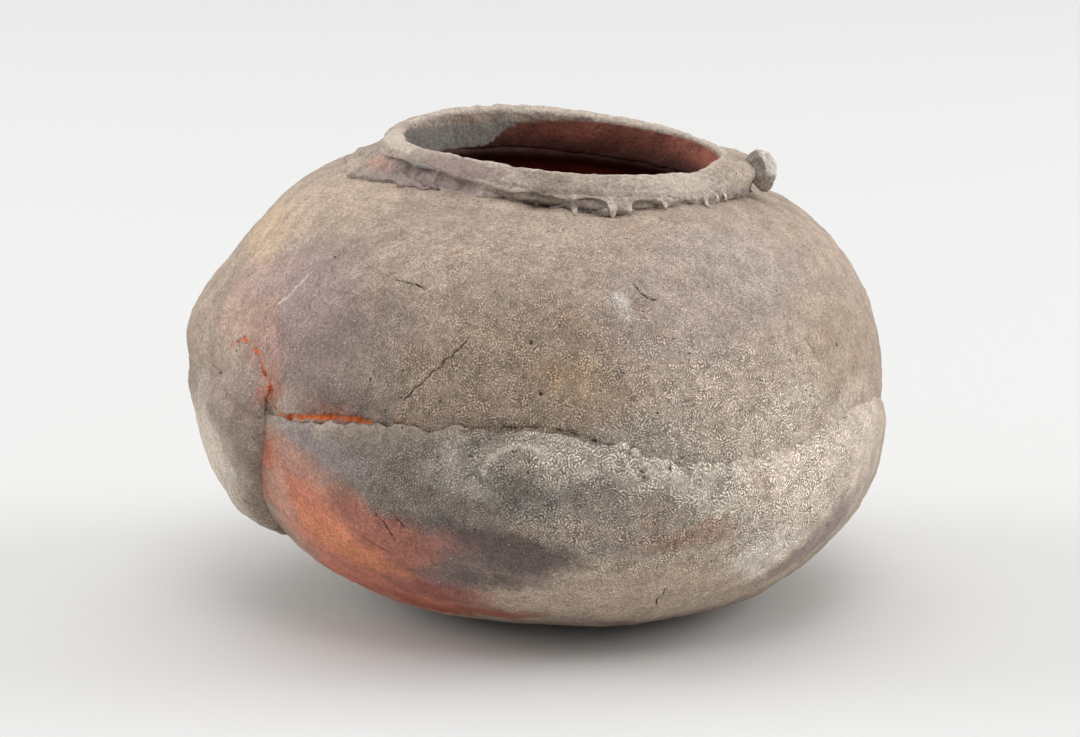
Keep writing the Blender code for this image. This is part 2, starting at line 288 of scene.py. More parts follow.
def split_near(piece, paths, reach, cuts):
    """Divides the faces along some paths."""
    centres = face_places(piece)
    chosen = np.zeros(len(centres), bool)
    for path in paths:
        chosen |= distance_to(centres, path, reach)[0] < reach
    split_faces(piece, chosen, cuts)


def reshape(piece, mover):
    """Moves the clay by hand: the mover takes the vertices' places and normals and gives new places."""
    points, normals = (read_vectors(piece.data.vertices, what) for what in ("co", "normal"))
    piece.data.vertices.foreach_set("co", mover(points, normals).ravel())
    piece.data.update()


def globe_place(points):
    """Longitude and latitude of each point."""
    away = points - np.array(middle)
    longitude = np.degrees(np.arctan2(away[:, 1], away[:, 0])) % 360
    return longitude, np.degrees(np.arctan2(away[:, 2], np.hypot(away[:, 0], away[:, 1])))


def smooth(share):
    held = np.clip(share, 0, 1)
    return held * held * (3 - 2 * held)


def near_longitude(longitude, centre, spread):
    """1 at a longitude, falling smoothly to 0 at spread degrees from it."""
    return 1 - smooth(np.abs((longitude - centre + 180) % 360 - 180) / spread)


def unevenness(points, size):
    """Smooth random value at each point, about -1 to 1, that changes over this size."""
    return np.array([noise.noise(Vector(point) / size) for point in points])


def layered(points, layers, start=0.0):
    """Sum of such values, each layer with its own strength and size."""
    return sum((strength * unevenness(points, size) for strength, size in layers), start)


def knead(piece, grains):
    """Pushes the surface in and out by cloudy patterns, each of a grain and a depth."""
    take_up(piece)
    for grain, depth in grains:
        pattern = bpy.data.textures.new("kneaded clay", "CLOUDS")
        pattern.noise_scale = grain
        pattern.noise_depth = 2
        push = piece.modifiers.new("Kneaded clay", "DISPLACE")
        push.texture = pattern
        push.texture_coords = "LOCAL"
        push.strength = depth
        bpy.ops.object.modifier_apply(modifier=push.name)


def paint(piece, attribute, values):
    """Raises a value that is kept on each vertex, for the material to read."""
    layer = piece.data.attributes.get(attribute) or piece.data.attributes.new(attribute, "FLOAT", "POINT")
    held = np.zeros(len(piece.data.vertices))
    layer.data.foreach_get("value", held)
    layer.data.foreach_set("value", np.maximum(held, values))


def cut_line(piece, path, width, depth, attribute, strength=1.0, broken=0.0, ends=6.0):
    """Sinks a line into the clay along a path, or raises it, tapered, more or less broken, and painted."""
    skin = BVHTree.FromObject(piece, bpy.context.evaluated_depsgraph_get())
    found = [skin.find_nearest(Vector(point)) for point in path]
    laid = np.array([place for place, _, _, distance in found if distance < LINE_REACH])
    points = places(piece)
    away, share = distance_to(points, laid, 2 * width)
    fade = smooth(np.minimum(share, 1 - share) * ends + LINE_TIP)
    close = np.flatnonzero(away < 2 * width)
    fade[close] *= 1 - broken * smooth(0.5 - BREAK_CONTRAST * unevenness(points[close], BREAK_SIZE))
    sunk = (1 - smooth(away / width)) * fade
    reshape(piece, lambda points, normals: points - normals * (sunk * depth)[:, None])
    paint(piece, attribute, strength * (1 - smooth(away / (PAINT_SPREAD * width))) * fade)


def press(piece, dents, attribute=None, strength=1.0):
    """Uneven dents, each a place, a radius and a depth; a negative depth swells, and they may be painted."""
    points = places(piece)
    ragged = 1 + RAGGED * unevenness(points, RAGGED_SIZE)
    sunk, shade = np.zeros(len(points)), np.zeros(len(points))
    for place, radius, depth in dents:
        pressed = 1 - smooth(np.linalg.norm(points - np.array(place), axis=1) / radius * ragged)
        sunk += pressed * depth
        shade = np.maximum(shade, pressed)
    reshape(piece, lambda points, normals: points - normals * sunk[:, None])
    if attribute:
        paint(piece, attribute, strength * shade)


def set_down(piece):
    """Flattens whatever the kneading pushed below the floor."""
    reshape(piece, lambda points, normals: np.maximum(points, (-np.inf, -np.inf, 0)))


def inner_face(piece):
    """Which vertices face the inside of the jar."""
    away = places(piece) - np.array(middle)
    return (away * read_vectors(piece.data.vertices, "normal")).sum(1) < 0


def dress(piece, cad_node, material):
    """Gives a piece its finish, and puts it in the place of its CAD node."""
    piece.data.materials.append(material)
    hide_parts(cad_node)
    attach(piece, "root")


def mark_mask(tree, spot, longitude, latitude, half_width, half_height, tilt):
    """Soft oval on the wall, its right end turned up by tilt: 1 at its middle, 0 from its edge on."""
    out = heading(longitude, latitude)
    across = Vector((-out.y, out.x, 0)).normalized()
    level = Matrix((across, out, across.cross(out))).transposed()
    placed = node(tree, "Mapping", {
        "Vector": spot,
        "Location": on_wall(longitude, latitude),
        "Rotation": (level @ Matrix.Rotation(math.radians(tilt), 3, "Y")).to_euler(),
        "Scale": (half_width, max(half_width, half_height), half_height),
    }, vector_type="TEXTURE").outputs[0]
    return node(tree, "TexGradient", {"Vector": placed}, gradient_type="SPHERICAL").outputs["Fac"]


def cloudy(tree, spot, size, detail, shift=0.0):
    """Cloud pattern, its lumps about this size."""
    moved = vector_math(tree, "ADD", spot, (shift, shift, shift))
    return node(tree, "TexNoise", {"Vector": moved, "Scale": 1 / size, "Detail": detail,
                                   "Roughness": CLOUD_ROUGHNESS}).outputs["Fac"]


def clouds(tree, spot, size, detail, shift, *step):
    """Cloud pattern that steps from one value to another between two limits."""
    return limits(tree, cloudy(tree, spot, size, detail, shift), *step)


def mix(tree, factor, first, second):
    return node(tree, "Mix", {0: factor, 6: first, 7: second}, data_type="RGBA").outputs[2]


def shade_by(tree, colour, value):
    """Makes a colour lighter or darker by a factor."""
    return node(tree, "VectorMath", {0: colour, "Scale": value}, operation="SCALE").outputs[0]


def rgba(colour):
    return (*colour, 1.0)


def dots(tree, spot, spacing, size, share):
    """Scattered round dots: this share of the cells of a cell pattern hold one."""
    cells = node(tree, "TexVoronoi", {"Vector": spot, "Scale": 1 / spacing})
    near = limits(tree, cells.outputs["Distance"], size * DOT_CORE, size, 1.0, 0.0)
    kept = node(tree, "SeparateColor", {0: cells.outputs["Color"]}).outputs[0]
    return math_node(tree, "MULTIPLY", near, math_node(tree, "LESS_THAN", kept, share))


EMBER = (0.72, 0.16, 0.035)
# Soot, and painted shade where this dark is laid in cracks, pits, crevices, creases, hollows and under edges
SOOT_AND_SHADE = (0.034, 0.024, 0.020)
CHALK = (0.62, 0.56, 0.49)
# Slip, and painted highlights along the upper borders of the collar's facets
SLIP_AND_HIGHLIGHT = (0.56, 0.475, 0.40)
PLUM = (0.33, 0.242, 0.222)
RUST = (0.42, 0.22, 0.11)
INNER_RED = (0.50, 0.168, 0.112)
# Dark red-brown that stands for the shade inside the jar
INNER_SHADED = (0.058, 0.019, 0.014)
INNER_GREY = (0.27, 0.25, 0.225)
CLOUD_ROUGHNESS = 0.6
DRIFT = {"Scale": 18, "Detail": 9, "Roughness": 0.68}
DRIFT_REACH = 0.060
TONE_SIZE = 0.045
TONE_STEP = (0.36, 0.64)
MARK_FULL = 0.6
ASH_FULL = 0.55
# Cloud patterns: size, detail, shift, the limits of the step and the values that it steps between
RUST_CLOUDS = (0.022, 5, 4.0, 0.56, 0.78, 0.0, 0.30)
BLOTCHES = (0.012, 6, 9.0, 0.30, 0.70, 0.84, 1.16)
WORM_GAPS = (0.0034, 3, 5.0, 0.32, 0.54, 0.15, 1.0)
GRAIN_PATCHES = (0.009, 3, 7.0, 0.35, 0.65, 0.5, 1.25)
# Worms of ash: the cells that they curl in, how many there are to a cell, and how they are stirred
WALL_ABOVE_MIDDLE = 0.050
WORM_CELL = 0.0029
WORMS_A_CELL = 1.9
WORM_STEP = (0.42, 0.66)
WORM_LIFT = (1.35, -0.46)
STIR_SIZE = 0.0050
STIR_REACH = 0.0042
SPECKLE_SIZE = 0.0017
SPECKLE_STEP = (0.28, 0.72)
SPECKLE_RANGE = (0.72, 1.28)
FAINT_SPECKLE = (0.8, 1.2)
SPECKLE_ROUGHNESS = (0.3, 0.7, 0.66, 0.90)
# Dots: the spacing of their cells, their radius and the share of the cells that hold one
GRIT = (0.0040, 0.14, 0.16)
SOOT_DOTS = (0.0095, 0.085, 0.30)
CHALK_DOTS = (0.0077, 0.075, 0.22)
DOT_CORE = 0.6
GRIT_STRENGTH = 0.7
WEAR_SIZE = 0.003
WEAR_REACH = 0.7
WORN_FROM = 0.20
PAINT_FULL = 0.80
SMOKE_FULL = 0.70
PAINT_EDGE = 0.3
FLUSH_STEP = (0.35, 0.65, 0.5, 1.1)
FINE_RELIEF = 0.0013
COARSE_RELIEF = 0.0028
COARSE_SHARE = 0.9
RELIEF_DEPTH = 0.0012
RELIEF_STRENGTH = 0.9
CLAY_GLOSS = 0.3


def unrolled(tree, spot):
    """Distances round and up the jar's wall, from the front of its belly."""
    away = vector_math(tree, "SUBTRACT", spot, middle)
    x, y, z = node(tree, "SeparateXYZ", {0: away}).outputs
    level = vector_math(tree, "MULTIPLY", away, (1, 1, 0))
    level = node(tree, "VectorMath", {0: level}, operation="LENGTH").outputs["Value"]
    turn = math_node(tree, "ARCTAN2", x, math_node(tree, "MULTIPLY", y, -1.0))
    climb = math_node(tree, "ARCTAN2", z, level)
    angles = node(tree, "CombineXYZ", {0: turn, 1: climb}).outputs[0]
    return shade_by(tree, angles, middle.z + WALL_ABOVE_MIDDLE)


def fired_clay(name, tones, marks=(), ash=(), rest_grain=0.25):
    """Wood-fired clay: drifting tones, fire marks, worm-like ash grain, grit, and what is painted on it.

    A mark is (longitude, latitude, half width, half height, tilt, strength, colour); an ash zone is the same
    without a colour, and says how strongly the grain of melted ash stands out there.
    """
    material = bpy.data.materials.new(name)
    material.use_nodes = True
    tree = material.node_tree
    shader = tree.nodes["Principled BSDF"]
    spot = node(tree, "TexCoord").outputs["Object"]
    drift = node(tree, "TexNoise", {"Vector": spot, **DRIFT}).outputs["Color"]
    drift = vector_math(tree, "SUBTRACT", drift, (0.5, 0.5, 0.5))
    drifted = vector_math(tree, "MULTIPLY_ADD", drift, (DRIFT_REACH,) * 3, spot)

    cloud = cloudy(tree, drifted, TONE_SIZE, 6)
    colour = mix(tree, limits(tree, cloud, *TONE_STEP), rgba(tones[0]), rgba(tones[1]))
    for *oval, strength, shade in dict(marks).values():
        mask = mark_mask(tree, drifted, *oval)
        colour = mix(tree, limits(tree, mask, 0.0, MARK_FULL, 0.0, strength), colour, rgba(shade))
    colour = mix(tree, clouds(tree, spot, *RUST_CLOUDS), colour, rgba(RUST))
    colour = shade_by(tree, colour, clouds(tree, spot, *BLOTCHES))

    grain = rest_grain
    for *oval, strength in dict(ash).values():
        mask = mark_mask(tree, drifted, *oval)
        grain = math_node(tree, "MAXIMUM", grain, limits(tree, mask, 0.0, ASH_FULL, rest_grain, strength))
    stirred = node(tree, "TexNoise", {"Vector": spot, "Scale": 1 / STIR_SIZE, "Detail": 2}).outputs["Color"]
    stirred = vector_math(tree, "MULTIPLY_ADD", stirred, (STIR_REACH,) * 3, unrolled(tree, spot))
    worms = node(tree, "TexGabor", {"Vector": stirred, "Scale": 1 / WORM_CELL,
                                    "Frequency": WORMS_A_CELL, "Anisotropy": 0.0}).outputs["Value"]
    ridge = math_node(tree, "MULTIPLY", limits(tree, worms, *WORM_STEP), clouds(tree, spot, *WORM_GAPS))
    grain = math_node(tree, "MULTIPLY", grain, clouds(tree, spot, *GRAIN_PATCHES))
    lift = math_node(tree, "MULTIPLY_ADD", ridge, *WORM_LIFT)
    colour = shade_by(tree, colour, math_node(tree, "MULTIPLY_ADD", lift, grain, 1.0))

    speckle = cloudy(tree, spot, SPECKLE_SIZE, 3)

    def speckled(shade, low, high):
        """A colour, darker or lighter from speck to speck."""
        return shade_by(tree, shade, limits(tree, speckle, *SPECKLE_STEP, low, high))

    colour = speckled(colour, *SPECKLE_RANGE)
    grit = math_node(tree, "MULTIPLY", dots(tree, spot, *GRIT), GRIT_STRENGTH)
    colour = mix(tree, grit, colour, rgba(SOOT_AND_SHADE))
    colour = mix(tree, dots(tree, spot, *SOOT_DOTS), colour, rgba(SOOT_AND_SHADE))
    colour = mix(tree, dots(tree, spot, *CHALK_DOTS), colour, rgba(CHALK))

    wear = cloudy(tree, spot, WEAR_SIZE, 3, shift=2.0)
    wear = math_node(tree, "MULTIPLY_ADD", wear, 2 * WEAR_REACH, -WEAR_REACH)

    def painted(attribute):
        return node(tree, "Attribute", attribute_name=attribute).outputs["Fac"]

    def worn(attribute, full):
        """Where something is painted, worn ragged at its edges, and full from this value on."""
        laid = painted(attribute)
        ragged = limits(tree, math_node(tree, "ADD", laid, wear), WORN_FROM, full)
        return math_node(tree, "MULTIPLY", ragged, limits(tree, laid, 0.0, PAINT_EDGE))

    # Painted layers: the slip layer also holds painted highlights, and the soot layer painted shade
    layers = {"plum": PLUM, "slip": SLIP_AND_HIGHLIGHT, "ember": EMBER, "chalk": CHALK, "soot_and_shade": SOOT_AND_SHADE}
    for attribute, shade in layers.items():
        colour = mix(tree, worn(attribute, PAINT_FULL), colour, speckled(shade, *FAINT_SPECKLE))
    # Inside the jar, the dark red-brown is painted shade where the red is not laid
    red_unshaded = math_node(tree, "MULTIPLY", painted("red_unshaded"), limits(tree, cloud, *FLUSH_STEP))
    inner = mix(tree, red_unshaded, rgba(INNER_SHADED), rgba(INNER_RED))
    inner = mix(tree, worn("smoked", SMOKE_FULL), inner, rgba(INNER_GREY))
    colour = mix(tree, painted("inside"), colour, speckled(inner, *FAINT_SPECKLE))
    tree.links.new(colour, shader.inputs["Base Color"])

    tree.links.new(limits(tree, speckle, *SPECKLE_ROUGHNESS), shader.inputs["Roughness"])
    shader.inputs["Specular IOR Level"].default_value = CLAY_GLOSS
    relief = math_node(tree, "MULTIPLY", cloudy(tree, spot, FINE_RELIEF, 2, shift=3.0), grain)
    coarse = cloudy(tree, spot, COARSE_RELIEF, 4, shift=6.0)
    relief = math_node(tree, "MULTIPLY_ADD", coarse, COARSE_SHARE, relief)
    bump = node(tree, "Bump", {"Height": relief, "Strength": RELIEF_STRENGTH, "Distance": RELIEF_DEPTH})
    tree.links.new(bump.outputs[0], shader.inputs["Normal"])
    return material


LOWER_TONES = ((0.47, 0.385, 0.305), (0.38, 0.31, 0.245))
LOWER_MARKS = {
    "ash drift": (297, -9, 0.120, 0.050, 0, 0.95, (0.63, 0.56, 0.47)),
    "ash at the right": (322, -9, 0.105, 0.075, 0, 0.95, (0.64, 0.535, 0.445)),
    "ash on the lip": (273, -3.5, 0.080, 0.022, 0, 0.85, (0.58, 0.510, 0.425)),
    "tan base": (290, -31, 0.165, 0.046, 0, 0.95, (0.53, 0.418, 0.325)),
    "charcoal": (249, -9, 0.095, 0.050, 0, 0.95, (0.225, 0.188, 0.155)),
    "first dark pool": (265, -7.5, 0.026, 0.018, 0, 0.9, (0.175, 0.145, 0.118)),
    "second dark pool": (274, -10.5, 0.046, 0.015, 0, 0.85, (0.28, 0.252, 0.218)),
    "brown under it": (284, -13.5, 0.052, 0.026, 0, 0.9, (0.37, 0.300, 0.250)),
    "dark by the flame": (254, -18, 0.050, 0.018, -18, 0.9, (0.165, 0.136, 0.120)),
    "blue-grey lip": (231, -4.2, 0.050, 0.016, -8, 0.95, (0.285, 0.235, 0.220)),
    "flame": (230, -21, 0.095, 0.052, -28, 1.0, (0.56, 0.215, 0.140)),
    "flame underside": (230, -34, 0.080, 0.048, -15, 1.0, (0.55, 0.205, 0.138)),
    "dark flame": (244, -29, 0.062, 0.034, -20, 0.9, (0.31, 0.117, 0.092)),
    "flame core": (232, -23, 0.046, 0.028, -28, 0.95, (0.65, 0.250, 0.128)),
    "flame glow": (226, -15, 0.030, 0.018, -28, 0.6, (0.62, 0.22, 0.14)),
    "salmon tongue": (253, -19.8, 0.040, 0.012, -6, 0.9, (0.38, 0.175, 0.140)),
    "purple band": (265, -19.5, 0.052, 0.018, -4, 0.95, (0.135, 0.100, 0.092)),
    "purple by the base": (252, -26, 0.034, 0.018, -10, 0.8, (0.25, 0.165, 0.15)),
    "purple base": (260, -24.5, 0.048, 0.020, -4, 0.85, (0.17, 0.130, 0.116)),
    "ash by the arch": (259, -5.5, 0.034, 0.022, 0, 0.7, (0.44, 0.385, 0.325)),
    "red by the cracks": (241.5, -16.5, 0.042, 0.024, -30, 0.85, (0.39, 0.155, 0.112)),
    "pale crease": (218, -13, 0.020, 0.036, 0, 0.8, (0.56, 0.325, 0.25)),
    "pink oval": (225, -6.5, 0.024, 0.014, 0, 0.6, (0.46, 0.245, 0.19)),
    "orange by the crease": (218.5, -6, 0.012, 0.026, 0, 0.9, (0.62, 0.21, 0.12)),
    "red base": (247, -41, 0.070, 0.014, 0, 0.9, (0.38, 0.115, 0.075)),
    "mauve edge": (328, -23, 0.056, 0.026, 30, 0.9, (0.31, 0.238, 0.218)),
    "pale by the edge": (311, -22, 0.036, 0.024, 20, 0.9, (0.78, 0.69, 0.60)),
    "brown under the slab": (210, -26, 0.026, 0.016, -35, 0.7, (0.38, 0.26, 0.20)),
    "pale at the right": (315, -10, 0.040, 0.026, 0, 0.9, (0.76, 0.635, 0.535)),
    "grey by the crease": (229, -3.6, 0.022, 0.010, 0, 0.8, (0.29, 0.235, 0.220)),
    "mauve base": (300, -43, 0.100, 0.012, 0, 0.8, (0.34, 0.255, 0.225)),
    "rust spot": (295, -17, 0.034, 0.014, 0, 0.7, (0.40, 0.25, 0.18)),
    "back flame edge": (80, -17, 0.150, 0.090, 14, 0.85, (0.37, 0.240, 0.185)),
    "back flame": (75, -17, 0.092, 0.056, 16, 0.9, (0.48, 0.190, 0.120)),
    "back flame core": (78, -18, 0.050, 0.028, 20, 0.8, (0.64, 0.25, 0.12)),
    "back flame tongue": (60, -9, 0.055, 0.016, -30, 0.8, (0.46, 0.19, 0.13)),
    "back ash": (130, -6, 0.130, 0.050, 0, 0.8, (0.55, 0.475, 0.395)),
    "back charcoal": (40, -10, 0.080, 0.060, 0, 0.9, (0.22, 0.185, 0.155)),
}
LOWER_ASH = {
    "ash drift": (295, -9, 0.170, 0.075, 0, 0.95),
    "lip": (270, -3, 0.090, 0.032, 0, 0.95),
    "tan base": (288, -32, 0.160, 0.050, 0, 0.5),
    "charcoal": (254, -8, 0.080, 0.045, 0, 0.7),
    "back": (130, -6, 0.150, 0.070, 0, 0.9),
}
LOWER_CRACKS = (
    ((241.3, -13.3), (243.2, -16.6), (244.6, -20.1)),
    ((244.5, -12.8), (245.8, -14.7), (246.8, -16.6)),
    ((237.1, -19.5), (239.8, -21.5), (242.7, -23.2)),
    ((293.5, -27.0), (292.4, -30.3), (293.4, -33.2)),
    ((98.0, -8.0), (101.0, -13.0), (102.0, -19.0)),
)
CRACK_WOBBLE = 0.35
CRACK_REACH = 0.0035
# Lines in the clay: width, depth, which is below 0 where the line stands up, what is painted along it,
# how strongly, how much of it is broken away, and how short its ends taper
CRACK_LINE = (0.0007, 0.0010, "soot_and_shade", 0.75)
LOWER_CRACK_LINE = (0.00084, 0.0010, "soot_and_shade", 0.75)
ARCH_LINE = (0.0036, -0.0036, "chalk", 0.5)
LIP_END_LINE = (0.0036, -0.0030, "chalk", 0.4)
RIDGE_LINE = (0.0060, -0.0016, "slip", 0.5, 0.6)
SEAM_WOBBLE = 0.3
SMEARED_ARCH = ((261.3, -6.5), (261.7, -5.0), (262.0, -3.7), (263.0, -2.5), (264.6, -1.5), (266.2, -1.0),
                (269.0, -1.4), (270.9, -2.6))
# Pits: longitude, latitude and radius
PITS = (
    (262.2, 0.6, 0.0017), (291.0, -5.0, 0.0020), (285.9, -4.6, 0.0022), (274.9, -24.7, 0.0016),
    (268.6, 15.6, 0.0015), (258.3, 13.7, 0.0014), (270.2, 7.4, 0.0016), (283.5, 9.7, 0.0011),
    (282.6, 7.6, 0.0011), (264.1, 2.6, 0.0016), (286.3, -6.2, 0.0018), (265.0, -9.0, 0.0016),
    (266.6, -8.6, 0.0018), (272.5, -13.0, 0.0015), (319.0, -16.0, 0.0022), (300.0, -22.0, 0.0013),
)
SCATTERED_PITS = 70
PIT_SEED = 7
PIT_LATITUDES = (-30, 32)
PIT_RADII = (0.0007, 0.0014)
PIT_EDGE = 1.6
PIT_SHADE = 0.75
LOWER_PIT_REACH = 0.0034
# Lumps and hollows: longitude, latitude, radius and depth
LOWER_LUMPS = ((283.5, -4.5, 0.014, -0.0036), (266, -7.8, 0.014, 0.0045), (275, -11, 0.024, 0.0030),
               (257, -4, 0.016, -0.0020), (300, -9, 0.030, -0.0016), (290, -14, 0.022, 0.0016))
LIP_END = ((281.8, -1.4), (284.6, -2.0), (285.6, -3.8), (285.8, -5.6))
SEAM_RIDGE = ((286.5, -4.6), (291.2, -5.4), (296.1, -6.4), (304.5, -5.3), (316.1, -3.9),
              (321.1, -3.0), (333.7, -1.7))
LIP_CREVICE = ((260.0, 1.4), (266.9, 2.0), (271.0, 1.9), (275.3, 1.0), (278.5, -0.2),
               (281.8, -1.4), (285.0, -3.0))
LIP_SMEAR = 0.0030
LIP_SMEAR_REACH = 0.020
LIP_ROLL = 0.010
# Stretches of the lip that were left standing: longitude, spread and share
PROUD_LIP = ((264, 40, 1.0), (80, 60, 1.0), (232, 24, 0.8))
PROUD_SWELL = 0.0008
# Lumps on the lip, and the waver of its edge: strength and size of each layer
LIP_LUMPS = ((0.0020, 0.011), (0.0009, 0.005))
LIP_WAVER = ((0.0030, 0.012), (0.0014, 0.005))
# Places on the lip: longitude and spread
LEDGE = (236, 20)
FRONT_LIP = (268, 60)
LEDGE_RISE = 0.0085
FOOT_HEIGHT = 0.012
# Kneading: grain and depth of each pattern, the widest of which runs on from piece to piece
JAR_LUMPS = (0.060, 0.0045)
LOWER_KNEADING = (JAR_LUMPS, (0.016, 0.0020), (0.006, 0.0014))

lower_clay = clay_copy("lower_bowl_clay", "lower_bowl", levels=2)
above_foot = face_places(lower_clay)[:, 2] > FOOT_HEIGHT
split_faces(lower_clay, faces_outwards(lower_clay) & above_foot, cuts=1)
lip_points = places(lower_clay)
lip_longitude = globe_place(lip_points)[0].astype(int)
lip_edge = np.array([lip_points[lip_longitude == degree, 2].max() for degree in range(360)])


def below_lip(points):
    """How far each point lies below the lip's edge."""
    return np.interp(globe_place(points)[0], np.arange(360) + 0.5, lip_edge, period=360) - points[:, 2]


def work_lip(points, normals):
    """Rubs the lip flat into the shoulder, except where it was left standing proud in lumps."""
    longitude, _ = globe_place(points)
    proud = np.max([share * near_longitude(longitude, *stretch) for *stretch, share in PROUD_LIP], axis=0)
    out = (points - np.array(middle)) * (1, 1, 0)
    out /= np.maximum(np.linalg.norm(out, axis=1), 1e-9)[:, None]
    below = below_lip(points)
    rubbed = (1 - proud) * (1 - smooth(below / LIP_SMEAR_REACH))
    rolled = 1 - smooth(below / LIP_ROLL)
    lumps = layered(points, LIP_LUMPS) + PROUD_SWELL * proud
    waver = layered(points * (1, 1, 0), LIP_WAVER) + LEDGE_RISE * near_longitude(longitude, *LEDGE)
    moved = points + out * (rolled * lumps - LIP_SMEAR * rubbed)[:, None]
    return moved + np.outer(rolled * waver, (0, 0, 1))


lip_faces = face_places(lower_clay)
front_lip = (below_lip(lip_faces) < LIP_ROLL) & faces_outwards(lower_clay)
front_lip &= near_longitude(globe_place(lip_faces)[0], *FRONT_LIP) > 0
split_faces(lower_clay, front_lip, cuts=1)
rng = np.random.default_rng(PIT_SEED)
scattered = [(rng.uniform(0, 360), rng.uniform(*PIT_LATITUDES), rng.uniform(*PIT_RADII))
             for _ in range(SCATTERED_PITS)]
pits = [(on_wall(longitude, latitude), PIT_EDGE * radius, radius)
        for longitude, latitude, radius in (*PITS, *scattered)]
pit_marks = [np.array([place, place]) for place, _, _ in pits]
crack_paths = [along_wall(*stops, wobble=CRACK_WOBBLE) for stops in LOWER_CRACKS]
arch_path, lip_end_path, ridge_path, crevice_path = (
    along_wall(*stops, wobble=SEAM_WOBBLE) for stops in (SMEARED_ARCH, LIP_END, SEAM_RIDGE, LIP_CREVICE))
split_near(lower_clay, crack_paths, CRACK_REACH, cuts=3)
split_near(lower_clay, [arch_path, lip_end_path] + pit_marks, LOWER_PIT_REACH, cuts=2)

reshape(lower_clay, work_lip)
knead(lower_clay, LOWER_KNEADING)
press(lower_clay, [(on_wall(longitude, latitude), radius, depth)
                   for longitude, latitude, radius, depth in LOWER_LUMPS])
cut_line(lower_clay, arch_path, *ARCH_LINE)
cut_line(lower_clay, lip_end_path, *LIP_END_LINE)
cut_line(lower_clay, ridge_path, *RIDGE_LINE)
# Painted shade along the cracks
for crack_path in crack_paths:
    cut_line(lower_clay, crack_path, *LOWER_CRACK_LINE)
# Painted shade in the pits
press(lower_clay, pits, "soot_and_shade", strength=PIT_SHADE)
set_down(lower_clay)
deep_inside = below_lip(places(lower_clay)) > LIP_ROLL
paint(lower_clay, "inside", inner_face(lower_clay) & deep_inside)
paint(lower_clay, "red_unshaded", inner_face(lower_clay))
dress(lower_clay, "lower_bowl",
      fired_clay("flame_marked_clay", LOWER_TONES, LOWER_MARKS, LOWER_ASH, rest_grain=0.12))

# Shoulder bowl: the coil-built top half, set into the lower bowl's lip while both were leather hard.
# Ash has settled on it as a fine worm-like grain, over tan and mauve clay, with a few drying cracks.
SHOULDER_TONES = ((0.445, 0.350, 0.280), (0.385, 0.302, 0.24))
SHOULDER_MARKS = {
    "yellow tan": (193, 28, 0.055, 0.034, 0, 0.9, (0.56, 0.415, 0.285)),
    "mauve at the left": (222, 17, 0.070, 0.062, 0, 0.9, (0.37, 0.272, 0.252)),
    "peach at the left": (207, 15, 0.040, 0.028, 0, 0.8, (0.47, 0.315, 0.245)),
    "pink below it": (218, 10, 0.034, 0.024, 0, 0.8, (0.43, 0.265, 0.215)),
    "dark mauve": (237, 10.5, 0.070, 0.048, 0, 0.9, (0.265, 0.202, 0.175)),
    "seam shadow": (247, 3, 0.080, 0.022, 0, 0.9, (0.180, 0.140, 0.118)),
    "rust glow": (234, 1.8, 0.030, 0.009, 0, 0.7, (0.33, 0.150, 0.110)),
    "rust at the arch": (220.5, 4, 0.012, 0.018, 0, 0.7, (0.40, 0.190, 0.135)),
    "brown front": (268, 9, 0.115, 0.056, 0, 0.85, (0.365, 0.275, 0.205)),
    "amber front": (277, 9, 0.030, 0.018, 0, 0.4, (0.46, 0.33, 0.20)),
    "grey by the seam": (292, -2, 0.090, 0.024, 8, 0.9, (0.37, 0.33, 0.275)),
    "tan above the seam": (306, 6, 0.085, 0.050, 0, 0.8, (0.55, 0.445, 0.36)),
    "pale above the seam": (314, 0.5, 0.055, 0.020, 14, 0.8, (0.60, 0.510, 0.42)),
    "mauve at the right": (301, 21, 0.080, 0.050, 0, 0.6, (0.43, 0.345, 0.305)),
    "mauve under the knob": (317, 27, 0.060, 0.034, 0, 0.6, (0.44, 0.36, 0.32)),
    "peach under the rim": (262, 33, 0.090, 0.020, 0, 0.7, (0.47, 0.375, 0.305)),
    "mauve under the yellow": (206, 21, 0.040, 0.022, 0, 0.7, (0.42, 0.300, 0.265)),
    "tan at the right": (334, 7, 0.056, 0.044, 0, 0.7, (0.42, 0.325, 0.245)),
    "pale by the seam": (331, -1, 0.040, 0.014, 20, 0.8, (0.56, 0.465, 0.375)),
    "tan at the left": (208, 38, 0.056, 0.034, 0, 0.7, (0.50, 0.385, 0.295)),
    "white splash": (285.3, 22.6, 0.011, 0.009, 0, 0.9, (0.69, 0.63, 0.575)),
    "back mauve": (110, 18, 0.080, 0.050, 0, 0.7, (0.36, 0.27, 0.245)),
    "back shadow": (60, 5, 0.080, 0.036, 0, 0.8, (0.25, 0.195, 0.165)),
    "back peach": (150, 24, 0.060, 0.034, 0, 0.7, (0.48, 0.33, 0.25)),
}
SHOULDER_ASH = {
    "front": (272, 6, 0.150, 0.075, 0, 0.85),
    "right": (300, 0, 0.110, 0.070, 0, 0.85),
    "top": (275, 28, 0.160, 0.060, 0, 0.50),
    "back": (60, 6, 0.150, 0.070, 0, 0.7),
}
SHOULDER_CRACKS = (
    ((240.7, 25.6), (242.4, 25.1), (244.6, 25.0), (246.4, 24.7), (248.5, 24.0)),
    ((258.3, 16.6), (255.5, 13.7), (251.4, 9.7), (248.7, 6.7), (246.6, 4.0)),
    ((288.1, 26.0), (289.2, 23.6), (290.5, 22.4), (292.4, 21.9)),
    ((321.6, 12.2), (322.9, 9.4), (324.1, 6.7)),
    ((120.0, 20.0), (124.0, 14.0), (125.0, 8.0)),
)
CHALK_SCRATCH = ((213.9, 14.8), (217.7, 19.7), (221.5, 25.0))
